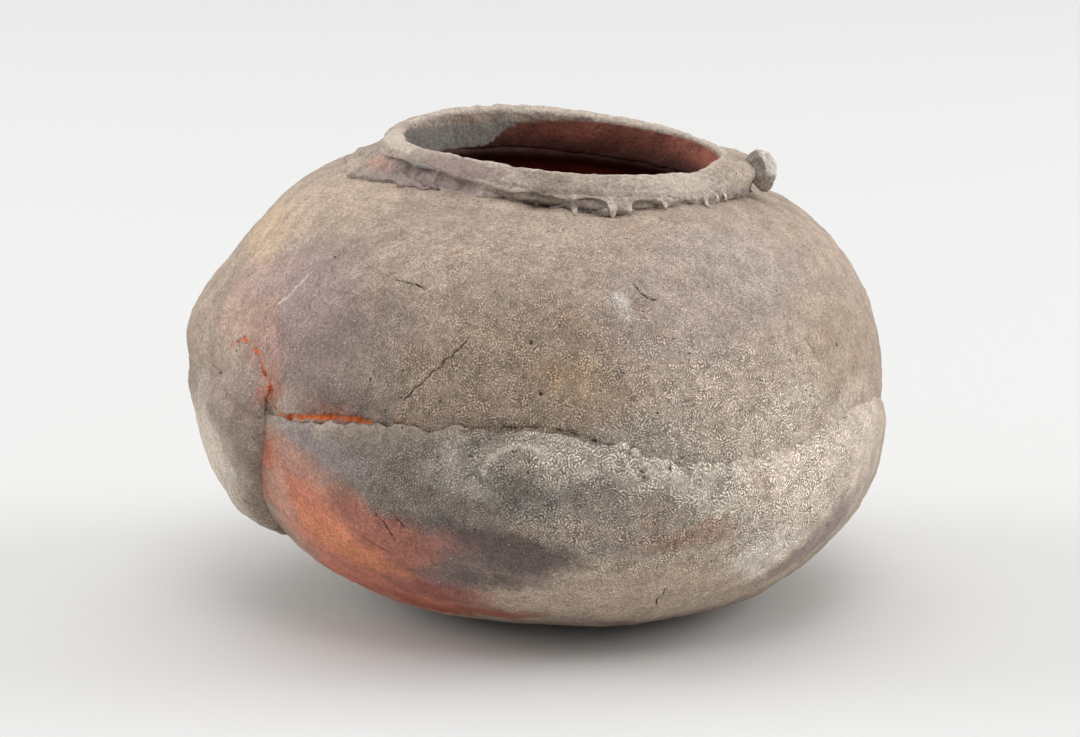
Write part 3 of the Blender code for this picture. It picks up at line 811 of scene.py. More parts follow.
EMBER_ARCH = ((205.2, 6.6), (207.1, 8.2), (210.1, 10.1), (213.2, 9.4), (215.3, 8.6), (216.8, 6.5),
              (219.2, 4.0), (219.8, 2.7), (219.7, 0.7), (221.0, -0.1), (223.8, -0.8), (226.5, -0.4))
EMBER_LEDGE = ((220.4, 0.2), (221.6, -0.4), (223.8, -0.8), (228.1, -0.1), (232.3, 0.5), (235.3, 0.9),
               (238.9, 0.9), (242.0, 0.8))
SCRATCH_WOBBLE = 0.15
EMBER_WOBBLE = 0.4
SHOULDER_PIT_REACH = 0.0040
SHOULDER_KNEADING = (JAR_LUMPS, (0.016, 0.0018), (0.006, 0.0012))
SCRATCH_LINE = (0.0018, 0.0003, "chalk", 0.6, 0.0, 2.5)
CREVICE_LINE = (0.0018, 0.0012, "soot_and_shade", 0.6, 0.7)
SHOULDER_RIDGE_LINE = (0.0060, -0.0014, "slip", 0.5, 0.6)
EMBER_LINES = ((0.0015, 0.0012, "ember", 0.9, 0.45, 8.0), (0.0026, 0.0012, "ember", 0.9, 0.20, 8.0))
EMBER_CORES = ((0.00075, 0.0008, "soot_and_shade", 0.8, 0.9), (0.0013, 0.0008, "soot_and_shade", 0.3, 0.9))
SIDE_SWELL_PLACE = (186, 7)
SIDE_SWELL = 0.0080
SIDE_SWELL_REACH = 0.065

side_middle = np.array(on_wall(*SIDE_SWELL_PLACE))


def swell_side(points, normals):
    """Swells the wall out at the left, at the top of the slab."""
    out = points - np.array(middle)
    out /= np.linalg.norm(out, axis=1)[:, None]
    near = 1 - smooth(np.linalg.norm(points - side_middle, axis=1) / SIDE_SWELL_REACH)
    return points + out * (SIDE_SWELL * near)[:, None]


shoulder_clay = clay_copy("shoulder_bowl_clay", "shoulder_bowl", levels=2)
split_faces(shoulder_clay, faces_outwards(shoulder_clay), cuts=1)
crack_paths = [along_wall(*stops, wobble=CRACK_WOBBLE) for stops in SHOULDER_CRACKS]
scratch_path = along_wall(*CHALK_SCRATCH, wobble=SCRATCH_WOBBLE)
ember_paths = [along_wall(*stops, wobble=EMBER_WOBBLE) for stops in (EMBER_ARCH, EMBER_LEDGE)]
split_near(shoulder_clay, crack_paths + ember_paths, CRACK_REACH, cuts=3)
split_near(shoulder_clay, [scratch_path, crevice_path] + pit_marks, SHOULDER_PIT_REACH, cuts=2)
knead(shoulder_clay, SHOULDER_KNEADING)
reshape(shoulder_clay, swell_side)
cut_line(shoulder_clay, scratch_path, *SCRATCH_LINE)
# Painted shade along the crevice under the lip
cut_line(shoulder_clay, crevice_path, *CREVICE_LINE)
cut_line(shoulder_clay, ridge_path, *SHOULDER_RIDGE_LINE)
# Painted shade along the cracks
for crack_path in crack_paths:
    cut_line(shoulder_clay, crack_path, *CRACK_LINE)
for ember_path, ember_line, ember_core in zip(ember_paths, EMBER_LINES, EMBER_CORES):
    cut_line(shoulder_clay, ember_path, *ember_line)
    cut_line(shoulder_clay, ember_path, *ember_core)
# Painted shade in the pits
press(shoulder_clay, pits, "soot_and_shade", strength=PIT_SHADE)
paint(shoulder_clay, "inside", inner_face(shoulder_clay))
dress(shoulder_clay, "shoulder_bowl",
      fired_clay("ash_grained_clay", SHOULDER_TONES, SHOULDER_MARKS, SHOULDER_ASH))

# Seam coil: a roll of clay pressed along the joint inside the belly, to seal it.
# It is bare red-brown clay, lumpy from the fingertips that pressed it in.
COIL_KNEADING = ((0.020, 0.004),)
coil_clay = clay_copy("seam_coil_clay", "seam_coil", levels=2)
knead(coil_clay, COIL_KNEADING)
# Its darker tone is the same dark red-brown that stands for shade inside the jar
dress(coil_clay, "seam_coil",
      fired_clay("bare_inner_clay", (INNER_RED, INNER_SHADED)))

# Side slab: a patch of clay laid over the left of the seam, thick at its low front corner,
# and smeared out thin to the top. Its front edge stands away from the bowl in a deep crease.
SLAB_TONES = ((0.37, 0.30, 0.242), (0.30, 0.24, 0.195))
SLAB_MARKS = {
    "mauve arch": (211, 6, 0.044, 0.036, 0, 0.85, (0.36, 0.262, 0.228)),
    "pale edge": (196, -13, 0.070, 0.050, 0, 0.9, (0.62, 0.535, 0.445)),
    # Painted shade beside the crease at the slab's front edge
    "painted shade by the crease": (216, -4, 0.018, 0.034, 0, 0.9, (0.25, 0.18, 0.15)),
    "brown corner": (208, -18, 0.030, 0.020, 0, 0.6, (0.31, 0.245, 0.195)),
    "red by the crack": (217.5, 3, 0.008, 0.016, 0, 0.7, (0.40, 0.17, 0.115)),
}
SLAB_SUNK = 0.0036
SLAB_TOP_SUNK = 0.0022
SLAB_THIN = 0.0032
SLAB_FRONT = (195, 14)
# Shares of the slab's height: where its top starts to run out, how much higher that is at the front,
# over how much it runs out, how much shorter that is at the front, and how far up its bottom is sunk
SLAB_TOP = 0.52
SLAB_FRONT_HIGHER = 0.28
SLAB_RUNOUT = 0.40
SLAB_FRONT_SHORTER = 0.20
SLAB_BOTTOM = 0.16
SLAB_BOTTOM_SUNK = 0.7
SLAB_TOP_POWER = 6
SLAB_SPLIT_REACH = 0.0030
SLAB_EMBER_LINE = (0.0015, 0.0008, "ember", 0.9, 0.45)

slab_clay = clay_copy("side_slab_clay", "side_slab", levels=3)
slab_low, slab_high = (corner.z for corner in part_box("side_slab"))


def ramp(values, start, width):
    """0 up to a start, then rising smoothly to 1 over a width."""
    return smooth((values - start) / width)


def sink_slab(points, normals):
    """Beds the slab's thin edges in the wall, where they run out, and leaves its thick front standing."""
    out = points - np.array(middle)
    reach = np.linalg.norm(out, axis=1)
    out /= reach[:, None]
    wall = np.array([walls.ray_cast(middle + Vector(way), -Vector(way))[0] for way in out])
    above = reach - np.linalg.norm(wall - np.array(middle), axis=1)
    share = (points[:, 2] - slab_low) / (slab_high - slab_low)
    front = ramp(globe_place(points)[0], *SLAB_FRONT)
    top = ramp(share - SLAB_TOP, SLAB_FRONT_HIGHER * front, SLAB_RUNOUT - SLAB_FRONT_SHORTER * front)
    bottom = 1 - ramp(share, 0, SLAB_BOTTOM)
    thin = np.maximum(1 - ramp(above, SLAB_THIN, SLAB_THIN), top)
    sunk = SLAB_SUNK * thin + SLAB_TOP_SUNK * top ** SLAB_TOP_POWER * (1 - front)
    return points - out * (sunk + above * np.maximum(top, SLAB_BOTTOM_SUNK * bottom))[:, None]


split_near(slab_clay, [ember_paths[0]], SLAB_SPLIT_REACH, cuts=1)
reshape(slab_clay, sink_slab)
knead(slab_clay, SHOULDER_KNEADING)
reshape(slab_clay, swell_side)
cut_line(slab_clay, ember_paths[0], *SLAB_EMBER_LINE)
cut_line(slab_clay, ember_paths[0], *EMBER_CORES[0])
dress(slab_clay, "side_slab",
      fired_clay("grey_tan_clay", SLAB_TONES, SLAB_MARKS))

# Collar strip: a flat strip of clay laid round the mouth and thumbed down on to the shoulder.
# It is smeared far out in ragged flakes at the left, and overhangs in thumbed lobes at the front.
COLLAR_TONES = ((0.37, 0.305, 0.26), (0.26, 0.21, 0.185))
COLLAR_MARKS = {
    "tan at the left": (184, 47, 0.036, 0.022, 0, 0.9, (0.46, 0.37, 0.30)),
    "pink at the left": (203, 50, 0.020, 0.015, 0, 0.9, (0.46, 0.265, 0.205)),
    "pale front": (290, 49, 0.040, 0.012, 0, 0.6, (0.44, 0.375, 0.32)),
}
rim_points = places(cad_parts["rim_coil"])
mouth_centre = rim_points.mean(0)
mouth_up = np.linalg.svd(rim_points - mouth_centre)[2][2]
mouth_up *= np.sign(mouth_up[2])
rim_seat = ((rim_points - mouth_centre) @ mouth_up).min()
rim_crown = ((rim_points - mouth_centre) @ mouth_up).max()


def neck_place(points):
    """Height above the rim's seat, distance from the mouth's axis, direction out from it and longitude."""
    away = points - mouth_centre
    height = away @ mouth_up
    out = away - height[:, None] * mouth_up
    radius = np.linalg.norm(out, axis=1)
    longitude = np.degrees(np.arctan2(out[:, 1], out[:, 0])) % 360
    return height - rim_seat, radius, out / radius[:, None], longitude


def neck_point(longitude, height, radius):
    """Point at a longitude about the mouth, a height above the rim's seat and a distance from the axis."""
    turn = math.radians(longitude)
    out = np.array((math.cos(turn), math.sin(turn), 0))
    out -= (out @ mouth_up) * mouth_up
    return mouth_centre + mouth_up * (rim_seat + height) + radius * out / np.linalg.norm(out)


mouth_radius = neck_place(rim_points)[1].min()
NECK_WALL = 0.0115
COLLAR_DEPTH = 0.010
COLLAR_BULGE = 0.0030
COLLAR_LEFT_RISE = 0.0055
COLLAR_LEFT_LEAN = 0.0040
COLLAR_UNDERCUT = 0.0040
SKIRT_RAGGED = 0.0060
COLLAR_BEDDED = 0.0015
# How far the collar's lower edge was rubbed back up towards the mouth, and the shoulder's clay heaped
# against it, by longitude about the mouth
SKIRT_LONGITUDES = (0, 60, 120, 165, 195, 215, 230, 243, 253, 262,
                    270, 278, 285, 292, 300, 309, 318, 328, 341)
SKIRT_DRAWN_IN = (0.0060, 0.0030, 0.0020, 0.0030, 0.0057, 0.0110, 0.0110, 0.0090, 0.0090, 0.0050,
                  0.0075, 0.0015, 0.0, 0.0046, 0.0060, 0.0080, 0.0070, 0.0075, 0.0070)
SHOULDER_HEAPED = (0.0020, 0.0015, 0.0015, 0.0010, 0.0, 0.0030, 0.0040, 0.0040, 0.0040, 0.0020,
                   0.0030, 0.0005, 0.0, 0.0020, 0.0030, 0.0050, 0.0040, 0.0040, 0.0030)
LOBE_SWELL = 0.9
KNOB_LONGITUDE = 351
KNOB_SIDE_SWELL = 0.0038
# Thumbed facets on the collar: longitude about the mouth and half width, in degrees, and depth
FACETS = ((262, 9, 0.0042), (278, 6.5, 0.0042), (295, 5.5, 0.0034), (308, 5, 0.0022),
          (20, 9, 0.0026), (60, 10, 0.0026), (95, 9, 0.0028), (130, 10, 0.0022))
# Creases pressed in below the rim at the front left, with painted shade in them: longitude about the mouth,
# and height
CREASES = ((217, -0.0005), (219, -0.0020), (228, -0.0005), (230, -0.0015))
CREASE_REACH = 0.0155
CREASE_RADIUS = 0.0034
CREASE_DEPTH = 0.0018
CREASE_SHADE = 0.7
COLLAR_KNEADING = (JAR_LUMPS, (0.011, 0.0030), (0.005, 0.0012))
# Places round the mouth: longitude and spread
LEFT_SKIRT = (192, 62)
UNDER_ROLL = (215, 50)
KNOB_SIDE = (KNOB_LONGITUDE, 40)
FRONT_EDGE = (275, 60)
# Distances from the mouth's inner edge, or from the wall: where something starts or ends, and over how much
COLLAR_FACE = (0.006, 0.004)
SKIRT = (NECK_WALL, 0.004)
SKIRT_SLIDE = (0.013, 0.008)
SKIRT_EDGE = (0.0015, 0.0030)
UNDERSIDE = (0.004, 0.004)
HEAP_START = (0.005, 0.006)
HEAP_END = (0.016, 0.022)
SHOULDER_SHADE_DEPTH = (0.022, 0.012)
SHOULDER_MOUTH = 0.012
COLLAR_FOOT = 0.0003
COLLAR_SHADE_HEIGHT = -0.006
FACET_FACE = 0.008
# Shares of the collar's height, or of a facet: where something starts or ends, and over how much
LEAN_START = (0.5, 0.5)
FACET_SHADE_END = (0.10, 0.35)
FACET_BORDER = (0.10, 0.12)
FACET_BORDER_START = (0.45, 0.2)
FRONT_EDGE_HEIGHT = 0.14
FACET_MIDDLE = 0.40
FACET_HALF_HEIGHT = 0.48
FACET_SOFTNESS = 0.25
COLLAR_SHADE_AND_HIGHLIGHT = 0.6
COLLAR_TOP_BULGE = 0.6
# How much less the collar bulges and swells at the left, and how much less ragged it is elsewhere
LEFT_FLATTER = 0.35
LEFT_SMOOTHER = 0.5
LEFT_SETTLED = 0.0006
RAGGED_ELSEWHERE = 0.35
LOBE_BASE = 0.6
LOBES = ((0.8, 0.013), (0.5, 0.005))
SKIRT_WAVER = ((1.0, 0.020), (0.8, 0.009), (0.4, 0.004))
SKIRT_RING = 0.11
RUN_LONGITUDES = (273.5, 284.5, 289.5, 301.4, 318.3, 323.2, 328.2)
# Paint on the collar: what, how strongly, longitude about the mouth, and spread
COLLAR_PAINT = (("plum", 0.62, 226, 40), ("slip", 0.5, 312, 36),
                *(("slip", 0.5, longitude, 2.6) for longitude in RUN_LONGITUDES))

collar_clay = clay_copy("collar_strip_clay", "collar_strip", levels=3)


def facet_mask(longitude, low, facet, half_width):
    """Lens on the collar's face: 1 in its middle, falling to 0 at its border."""
    across = ((longitude - facet + 180) % 360 - 180) / half_width
    return smooth((1 - np.hypot(across, (low - FACET_MIDDLE) / FACET_HALF_HEIGHT)) / FACET_SOFTNESS)


def thumb_collar(points, normals):
    """Fills the collar out under the rim, thumbs its facets, beds it and rubs its edge ragged."""
    height, radius, out, longitude = neck_place(points)
    low = np.clip((height + COLLAR_DEPTH) / COLLAR_DEPTH, 0, 1)
    from_mouth = radius - mouth_radius
    outer = ramp(from_mouth, *COLLAR_FACE)
    left = near_longitude(longitude, *LEFT_SKIRT)
    under_roll = near_longitude(longitude, *UNDER_ROLL)
    bulge = 4 * low * (1 - low) + COLLAR_TOP_BULGE * low
    push = COLLAR_BULGE * outer * bulge * (1 - LEFT_FLATTER * left)
    push += KNOB_SIDE_SWELL * outer * near_longitude(longitude, *KNOB_SIDE) + COLLAR_UNDERCUT * (1 - outer)
    for facet, half_width, depth in FACETS:
        push -= depth * outer * facet_mask(longitude, low, facet, half_width)
    push -= COLLAR_LEFT_LEAN * outer * ramp(low, *LEAN_START) * under_roll

    found = [walls.find_nearest(Vector(point)) for point in points]
    outwards = np.array([normal for _, normal, _, _ in found])
    above = np.array([distance for _, _, _, distance in found])
    edge = (1 - ramp(above, *SKIRT_EDGE)) * ramp(from_mouth, *SKIRT)
    lobed = layered(points, LOBES, LOBE_BASE)
    lift = edge * above * LOBE_SWELL * lobed * (1 - LEFT_SMOOTHER * left) - LEFT_SETTLED * edge * left
    underside = smooth(-(normals * outwards).sum(1) / 0.5) * (1 - ramp(above, *UNDERSIDE))
    lift -= underside * (above + COLLAR_BEDDED)

    ring = np.stack([SKIRT_RING * out[:, 0], SKIRT_RING * out[:, 1], np.zeros(len(points))], 1)
    ragged = layered(ring, SKIRT_WAVER) * (RAGGED_ELSEWHERE + (1 - RAGGED_ELSEWHERE) * left)
    slide = SKIRT_RAGGED * ragged - np.interp(longitude, SKIRT_LONGITUDES, SKIRT_DRAWN_IN, period=360)
    slide *= ramp(from_mouth, *SKIRT_SLIDE)
    slope = out - (out * outwards).sum(1)[:, None] * outwards
    moved = points + out * push[:, None] + outwards * lift[:, None] + slope * slide[:, None]
    return moved + np.outer(COLLAR_LEFT_RISE * smooth(low) * under_roll, mouth_up)


collar_height, collar_radius, _, _ = neck_place(places(collar_clay))
collar_inside = collar_radius < mouth_radius + COLLAR_FACE[0]
collar_inside |= collar_height < COLLAR_FOOT - COLLAR_DEPTH
collar_inside &= collar_radius < mouth_radius + NECK_WALL
reshape(collar_clay, thumb_collar)
knead(collar_clay, COLLAR_KNEADING)
creases = [(neck_point(longitude, height, mouth_radius + CREASE_REACH), CREASE_RADIUS, CREASE_DEPTH)
           for longitude, height in CREASES]
# Painted shade in the creases
press(collar_clay, creases, "soot_and_shade", strength=CREASE_SHADE)
collar_height, collar_radius, _, collar_longitude = neck_place(places(collar_clay))
collar_low = np.clip((collar_height + COLLAR_DEPTH) / COLLAR_DEPTH, 0, 1)
paint(collar_clay, "inside", collar_inside)
# Painted shade on the collar's inside below this height, half red above it
paint(collar_clay, "red_unshaded", 0.5 * (collar_height > COLLAR_SHADE_HEIGHT))
for layer, strength, longitude, spread in COLLAR_PAINT:
    paint(collar_clay, layer, strength * near_longitude(collar_longitude, longitude, spread))
# Painted shade in the lower part of each facet's hollow, and a painted highlight along its upper border
for facet, half_width, _ in FACETS:
    hollow = facet_mask(collar_longitude, collar_low, facet, half_width)
    hollow = hollow * (collar_radius > mouth_radius + FACET_FACE)
    paint(collar_clay, "soot_and_shade", COLLAR_SHADE_AND_HIGHLIGHT * hollow * (1 - ramp(collar_low, *FACET_SHADE_END)))
    border = ramp(hollow * (1 - hollow), *FACET_BORDER)
    paint(collar_clay, "slip", COLLAR_SHADE_AND_HIGHLIGHT * border * ramp(collar_low, *FACET_BORDER_START))
# Painted shade along the collar's lower front edge, under its overhang
front_edge = near_longitude(collar_longitude, *FRONT_EDGE) * (collar_radius > mouth_radius + NECK_WALL)
paint(collar_clay, "soot_and_shade", COLLAR_SHADE_AND_HIGHLIGHT * front_edge * (1 - smooth(collar_low / FRONT_EDGE_HEIGHT)))
dress(collar_clay, "collar_strip",
      fired_clay("purple_grey_clay", COLLAR_TONES, COLLAR_MARKS))
shoulder_height, shoulder_radius, _, _ = neck_place(places(shoulder_clay))
paint(shoulder_clay, "inside", shoulder_radius < mouth_radius + SHOULDER_MOUTH)
# Painted shade on the shoulder just inside the mouth, giving way to red deeper down
paint(shoulder_clay, "red_unshaded", inner_face(shoulder_clay) * ramp(-shoulder_height, *SHOULDER_SHADE_DEPTH))


def heap_shoulder(points, normals):
    """Heaps the shoulder's clay up against the collar's foot."""
    _, radius, _, longitude = neck_place(points)
    beside = ramp(radius - mouth_radius, *HEAP_START) * (1 - ramp(radius - mouth_radius, *HEAP_END))
    heap = np.interp(longitude, SKIRT_LONGITUDES, SHOULDER_HEAPED, period=360)
    outside = ((points - np.array(middle)) * normals).sum(1) > 0
    return points + normals * (heap * beside * outside)[:, None]


reshape(shoulder_clay, heap_shoulder)

# Rim coil: a roll of clay turned outwards round the mouth, patted down at the front and coated with
# a pale slip. It is uneven, and its inner face shows the red clay, smoked grey at the left.
RIM_TONES = ((0.45, 0.37, 0.305), (0.34, 0.27, 0.222))
RIM_MARKS = {
    "brown at the back": (118, 52, 0.032, 0.022, 0, 0.7, (0.36, 0.25, 0.18)),
    "brown at the back right": (35, 50, 0.040, 0.022, 0, 0.6, (0.38, 0.27, 0.21)),
}
RIM_DROP_OUTSIDE = 0.0075
RIM_DROP_INSIDE = 0.0170
RIM_LEFT_SAG = 0.0025
RIM_LEFT_REACH = 0.0030
RIM_BACK_RISE = 0.0020
RIM_END_REACH = 0.0070
RIM_END_RISE = 0.0025
RIM_FRONT_SAG = 0.0020
RIM_INNER_TOP = 0.0062
RIM_TILT = 0.58
RIM_PATTED = 0.75
RIM_KNEADING = (JAR_LUMPS, (0.024, 0.0026), (0.009, 0.0018), (0.004, 0.0008))
# Places round the rim: longitude about the mouth, and spread
RIM_BACK = (95, 95)
RIM_BACK_CREST = (110, 50)
RIM_LEFT = (195, 50)
RIM_FRONT = (320, 30)
RIM_END = (KNOB_LONGITUDE, 34)
RIM_TIP = (KNOB_LONGITUDE, 30)
RIM_DIP = (130, 62)
RED_RIM = (5, 45)
PLUM_RIM = (234, 36)
LEFT_SLIP = (195, 38)
FRONT_SLIP = (310, 44)
RUN_SLIP_SPREAD = 3.5
# The rim's own sizes and shares: its inner wall, foot and seat, the line that it tilts about, its spread
# at the foot and on the flank, where its crest and its tilt start, and how much it is lifted or levelled
RIM_INNER_WALL = 0.010
RIM_FOOT = 0.0045
RIM_SEAT = 0.004
RIM_PIVOT = 0.0030
RIM_FOOT_SPREAD = 0.0030
RIM_FLANK_SPREAD = 0.0012
RIM_CREST_FROM = 0.4
RIM_TILT_FROM = 0.2
RIM_LIFTED = 1.5
RIM_LEFT_LEVEL = 0.65
RIM_END_LEVEL = 0.7
# Paint on the rim: where it starts or ends, by height or by distance from the mouth, and over how much
RIM_INWARD = (0.25, 0.3)
RIM_INNER_DIP = 0.0050
RIM_INNER_EDGE = 0.0016
RIM_UNDERSIDE = 0.005
SMOKE_EDGE = 0.0060
SMOKE_STRENGTH = 1.5
DEEP_SHADE = (-0.002, 0.012)
PLUM_TOP = (0.006, 0.005)
LIP_SLIP_FOOT = (0.0065, 0.003)
LIP_SLIP_EDGE = (0.004, 0.004)
LEFT_SLIP_FOOT = (0.002, 0.004)
# Height of the border between the smoked clay and the red clay, by longitude about the mouth
SMOKE_LONGITUDES = (60, 90, 103, 111, 120, 150, 200, 225, 240)
SMOKE_BORDER = (0.0100, 0.0075, 0.0062, 0.0010, -0.0100, -0.0125, -0.0125, -0.0080, 0.0100)

rim_clay = clay_copy("rim_coil_clay", "rim_coil", levels=3)
rim_height = rim_crown - rim_seat


def pat_rim(points, normals):
    """Pats the roll down towards the outside and draws its foot down over the collar and into the mouth."""
    height, radius, out, longitude = neck_place(points)
    from_mouth = radius - mouth_radius
    left = near_longitude(longitude, *RIM_LEFT)
    end = near_longitude(longitude, *RIM_END)
    inner = 1 - smooth(from_mouth / RIM_INNER_WALL)
    drop = RIM_DROP_OUTSIDE * (1 - RIM_LIFTED * near_longitude(longitude, *UNDER_ROLL))
    drop += (RIM_DROP_INSIDE - drop) * inner
    low = 1 - smooth(height / RIM_FOOT)
    above_seat = smooth(height / RIM_SEAT)
    crest_height = (1 - RIM_CREST_FROM) * rim_height
    crest = np.clip((height - RIM_CREST_FROM * rim_height) / crest_height, 0, 1)
    tilt = RIM_TILT * (1 - near_longitude(longitude, *RIM_BACK)) * (1 - RIM_LEFT_LEVEL * left)
    tilt *= 1 - RIM_END_LEVEL * end
    spread = RIM_FOOT_SPREAD * low + RIM_FLANK_SPREAD * smooth(1 - height / rim_height)
    spread += KNOB_SIDE_SWELL * near_longitude(longitude, *KNOB_SIDE)
    spread += RIM_END_REACH * near_longitude(longitude, *RIM_TIP) * above_seat
    spread *= 1 - inner
    spread += RIM_LEFT_REACH * left - from_mouth * low * inner
    rise = (crest ** RIM_PATTED - crest) * crest_height
    rise -= tilt * (from_mouth - RIM_PIVOT) * smooth(height / rim_height + RIM_TILT_FROM)
    rise += RIM_BACK_RISE * near_longitude(longitude, *RIM_BACK_CREST) - drop * low - RIM_LEFT_SAG * left
    rise += (RIM_END_RISE * end - RIM_FRONT_SAG * near_longitude(longitude, *RIM_FRONT)) * above_seat
    return points + mouth_up * rise[:, None] + out * spread[:, None]


reshape(rim_clay, pat_rim)
knead(rim_clay, RIM_KNEADING)
# Painted shade in the same creases on the rim
press(rim_clay, creases, "soot_and_shade", strength=CREASE_SHADE)
rim_up, rim_radius, rim_out, rim_longitude = neck_place(places(rim_clay))
rim_inward = -(read_vectors(rim_clay.data.vertices, "normal") * rim_out).sum(1)
inner_top = RIM_INNER_TOP - RIM_INNER_DIP * near_longitude(rim_longitude, *RIM_DIP)
rim_inner = ramp(rim_inward, *RIM_INWARD) * (1 - ramp(rim_up, inner_top, RIM_INNER_EDGE))
rim_inner = np.maximum(rim_inner, (rim_up < 0) & (rim_radius < mouth_radius + RIM_UNDERSIDE))
smoke_border = np.interp(rim_longitude, SMOKE_LONGITUDES, SMOKE_BORDER)
paint(rim_clay, "inside", rim_inner)
paint(rim_clay, "smoked", SMOKE_STRENGTH * smooth((rim_up - smoke_border) / SMOKE_EDGE + 0.5))
rim_flush = 0.60 + 0.40 * near_longitude(rim_longitude, *RED_RIM)
# The rim's inner face is painted darker lower down, as shade
paint(rim_clay, "red_unshaded", rim_flush * (1 - 0.9 * ramp(-rim_up, *DEEP_SHADE)))
paint(rim_clay, "plum", 0.75 * near_longitude(rim_longitude, *PLUM_RIM) * (1 - ramp(rim_up, *PLUM_TOP)))
lip_slip = ramp(rim_up, *LIP_SLIP_FOOT) * (1 - ramp(rim_radius - mouth_radius, *LIP_SLIP_EDGE))
left_slip = near_longitude(rim_longitude, *LEFT_SLIP) * ramp(rim_up, *LEFT_SLIP_FOOT)
paint(rim_clay, "slip", np.maximum(0.6 * lip_slip, 0.9 * left_slip))
paint(rim_clay, "slip", 0.65 * near_longitude(rim_longitude, *FRONT_SLIP))
for run_longitude in RUN_LONGITUDES:
    paint(rim_clay, "slip", 0.35 * near_longitude(rim_longitude, run_longitude, RUN_SLIP_SPREAD))
dress(rim_clay, "rim_coil",
      fired_clay("slip_coated_clay", RIM_TONES, RIM_MARKS))

# Rim knob: the lump of clay left where the end of the rim roll was pressed down.
# It is a rough boulder, grey-brown below, and crusted white on its top and outer side.
KNOB_TONES = ((0.34, 0.285, 0.245), (0.24, 0.20, 0.17))
KNOB_CRUST_SIDE = Vector((0.75, -0.35, 0.55)).normalized()
# Flats knocked on the lump: the way each one faces, and its distance from the middle as a share of the reach
KNOB_FLATS = (((-0.25, -0.95, 0.15), 0.86), ((0.55, -0.62, 0.55), 0.90), ((0.1, -0.1, 1.0), 0.86),
              ((0.90, -0.25, -0.25), 0.92), ((0.35, -0.70, -0.65), 0.88), ((0.3, 0.9, 0.2), 0.86))
KNOB_RISE = 0.0022
KNOB_SET_OUT = 0.7
KNOB_FLATTENED = 0.8
KNOB_KNEADING = ((0.014, 0.0040), (0.005, 0.0018))
CRUST_WAVER = ((0.25, 0.006),)
CRUST_START = (0.42, 0.30)
KNOB_SOOT_START = (0.3, 0.6)
knob_clay = clay_copy("rim_knob_clay", "rim_knob", levels=4)
knob_low, knob_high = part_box("rim_knob")
knob_middle = np.array((knob_low + knob_high) / 2)
knob_radius = (knob_high - knob_low).x / 2
knob_shift = neck_place(knob_middle[None])[2][0] * KNOB_SET_OUT * KNOB_SIDE_SWELL + mouth_up * KNOB_RISE


def knock_knob(points, normals):
    """Knocks flats on the lump and sets it against the swollen side of the collar."""
    for way, share in KNOB_FLATS:
        way = np.array(Vector(way).normalized())
        reach = (points - knob_middle) @ way
        points = points - np.outer(KNOB_FLATTENED * np.maximum(reach - share * reach.max(), 0), way)
    return points + knob_shift


reshape(knob_clay, knock_knob)
knead(knob_clay, KNOB_KNEADING)
knob_middle = knob_middle + knob_shift
knob_points = places(knob_clay)
knob_side = (knob_points - knob_middle) @ np.array(KNOB_CRUST_SIDE) / knob_radius
knob_side += layered(knob_points, CRUST_WAVER)
paint(knob_clay, "chalk", 0.75 * ramp(knob_side, *CRUST_START))
paint(knob_clay, "soot_and_shade", 0.5 * ramp(-knob_side, *KNOB_SOOT_START))
dress(knob_clay, "rim_knob",
      fired_clay("pale_knob_clay", KNOB_TONES))

# Glaze runs: ash glaze that melted on the rim, ran down over the collar and set at its lower edge as drops.
# Each is a thin wide film above and a narrow full bead at its end, glossy and a little clouded.
GLAZE_PALE = (0.58, 0.51, 0.42)
GLAZE_DARK = (0.43, 0.365, 0.29)
RUN_FEET = (-0.0098, -0.0106, -0.0088, -0.0060, -0.0068, -0.0050, -0.0056)
RUN_LENGTHS = (0.0066, 0.0100, 0.0064, 0.0052, 0.0060, 0.0070, 0.0056)
RUN_WIDTHS = (0.0019, 0.0021, 0.0016, 0.0015, 0.0016, 0.0012, 0.0017)
RUN_FILM_SPREAD = 1.5
RUN_THICKNESS = 0.0022
RUN_SAMPLES = 12
RUN_THINNING = 0.9
RUN_SUNK = 0.1
FILM_START = (0.4, 0.6)
BEAD_END = (0.2, 0.6)
GLAZE_CLOUDS = (0.0022, 4, 0.0, 0.3, 0.7)
GLAZE_ROUGHNESS = (0.20, 0.45)
GLAZE_COAT = 0.3
CLEAR_OF_NECK = 0.16
run_glaze = bpy.data.materials.new("ash_glaze")
run_glaze.use_nodes = True
run_tree = run_glaze.node_tree
run_spot = node(run_tree, "TexCoord").outputs["Object"]
clouded = clouds(run_tree, run_spot, *GLAZE_CLOUDS)
glaze_colour = mix(run_tree, clouded, rgba(GLAZE_DARK), rgba(GLAZE_PALE))
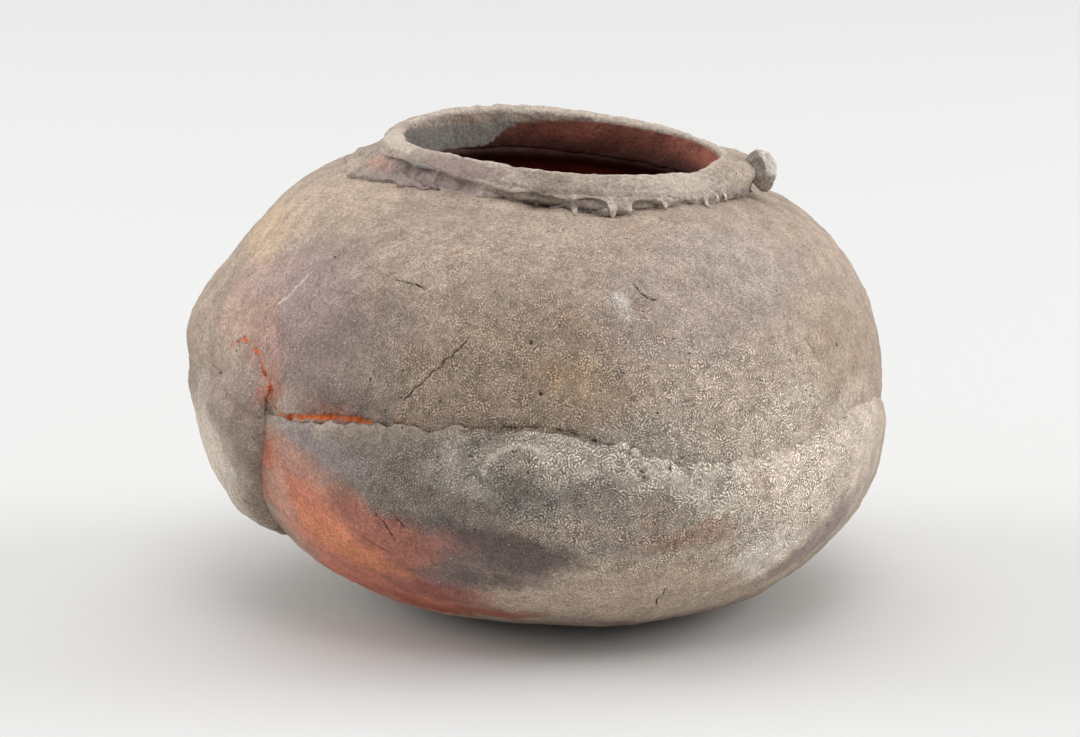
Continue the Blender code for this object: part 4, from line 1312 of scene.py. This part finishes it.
run_shader = run_tree.nodes["Principled BSDF"]
run_tree.links.new(glaze_colour, run_shader.inputs["Base Color"])
run_tree.links.new(limits(run_tree, clouded, 0.0, 1.0, *GLAZE_ROUGHNESS), run_shader.inputs["Roughness"])
run_shader.inputs["Coat Weight"].default_value = GLAZE_COAT
neck_skin = skin_of(collar_clay.data, rim_clay.data, shoulder_clay.data)


def neck_face(longitude, height):
    """Distance of the neck's outer face from the mouth's axis."""
    start = Vector(neck_point(longitude, height, CLEAR_OF_NECK))
    axis = Vector(neck_point(longitude, height, 0.0))
    return (neck_skin.ray_cast(start, (axis - start).normalized())[0] - axis).length


def drip(run, longitude, foot, length, bead_width):
    """Stretches a bead into a run that lies on the neck, wide and thin above, narrow and full at its end."""
    heights = foot + length * np.linspace(0, 1, RUN_SAMPLES)
    faces = np.array([neck_face(longitude, height) for height in heights])
    faces[1:-1] = (faces[:-2] + faces[1:-1] + faces[2:]) / 3
    low, high = (np.array(corner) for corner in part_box(run.name.removesuffix("_drop")))
    out = neck_place((low + high)[None] / 2)[2][0]
    across = np.cross(mouth_up, out)

    def stretch(points, normals):
        offset = points - (low + high) / 2
        bead = np.stack([offset @ across, offset @ mouth_up, offset @ out], 1)
        bead /= np.abs(bead).max(0)
        up = (bead[:, 1] + 1) / 2
        width = bead_width * (1 + (RUN_FILM_SPREAD - 1) * ramp(up, *FILM_START))
        thick = RUN_THICKNESS * (1 - RUN_THINNING * ramp(up, *BEAD_END))
        height = foot + length * up
        radius = np.interp(height, heights, faces) + thick * (bead[:, 2] + RUN_SUNK)
        axis = mouth_centre + np.outer(rim_seat + height, mouth_up)
        return axis + radius[:, None] * out + np.outer(bead[:, 0] * width, across)

    reshape(run, stretch)


for number, run_sizes in enumerate(zip(RUN_LONGITUDES, RUN_FEET, RUN_LENGTHS, RUN_WIDTHS), start=1):
    run_node = f"glaze_run_{number}"
    run = clay_copy(run_node + "_drop", run_node, levels=2)
    drip(run, *run_sizes)
    dress(run, run_node, run_glaze)
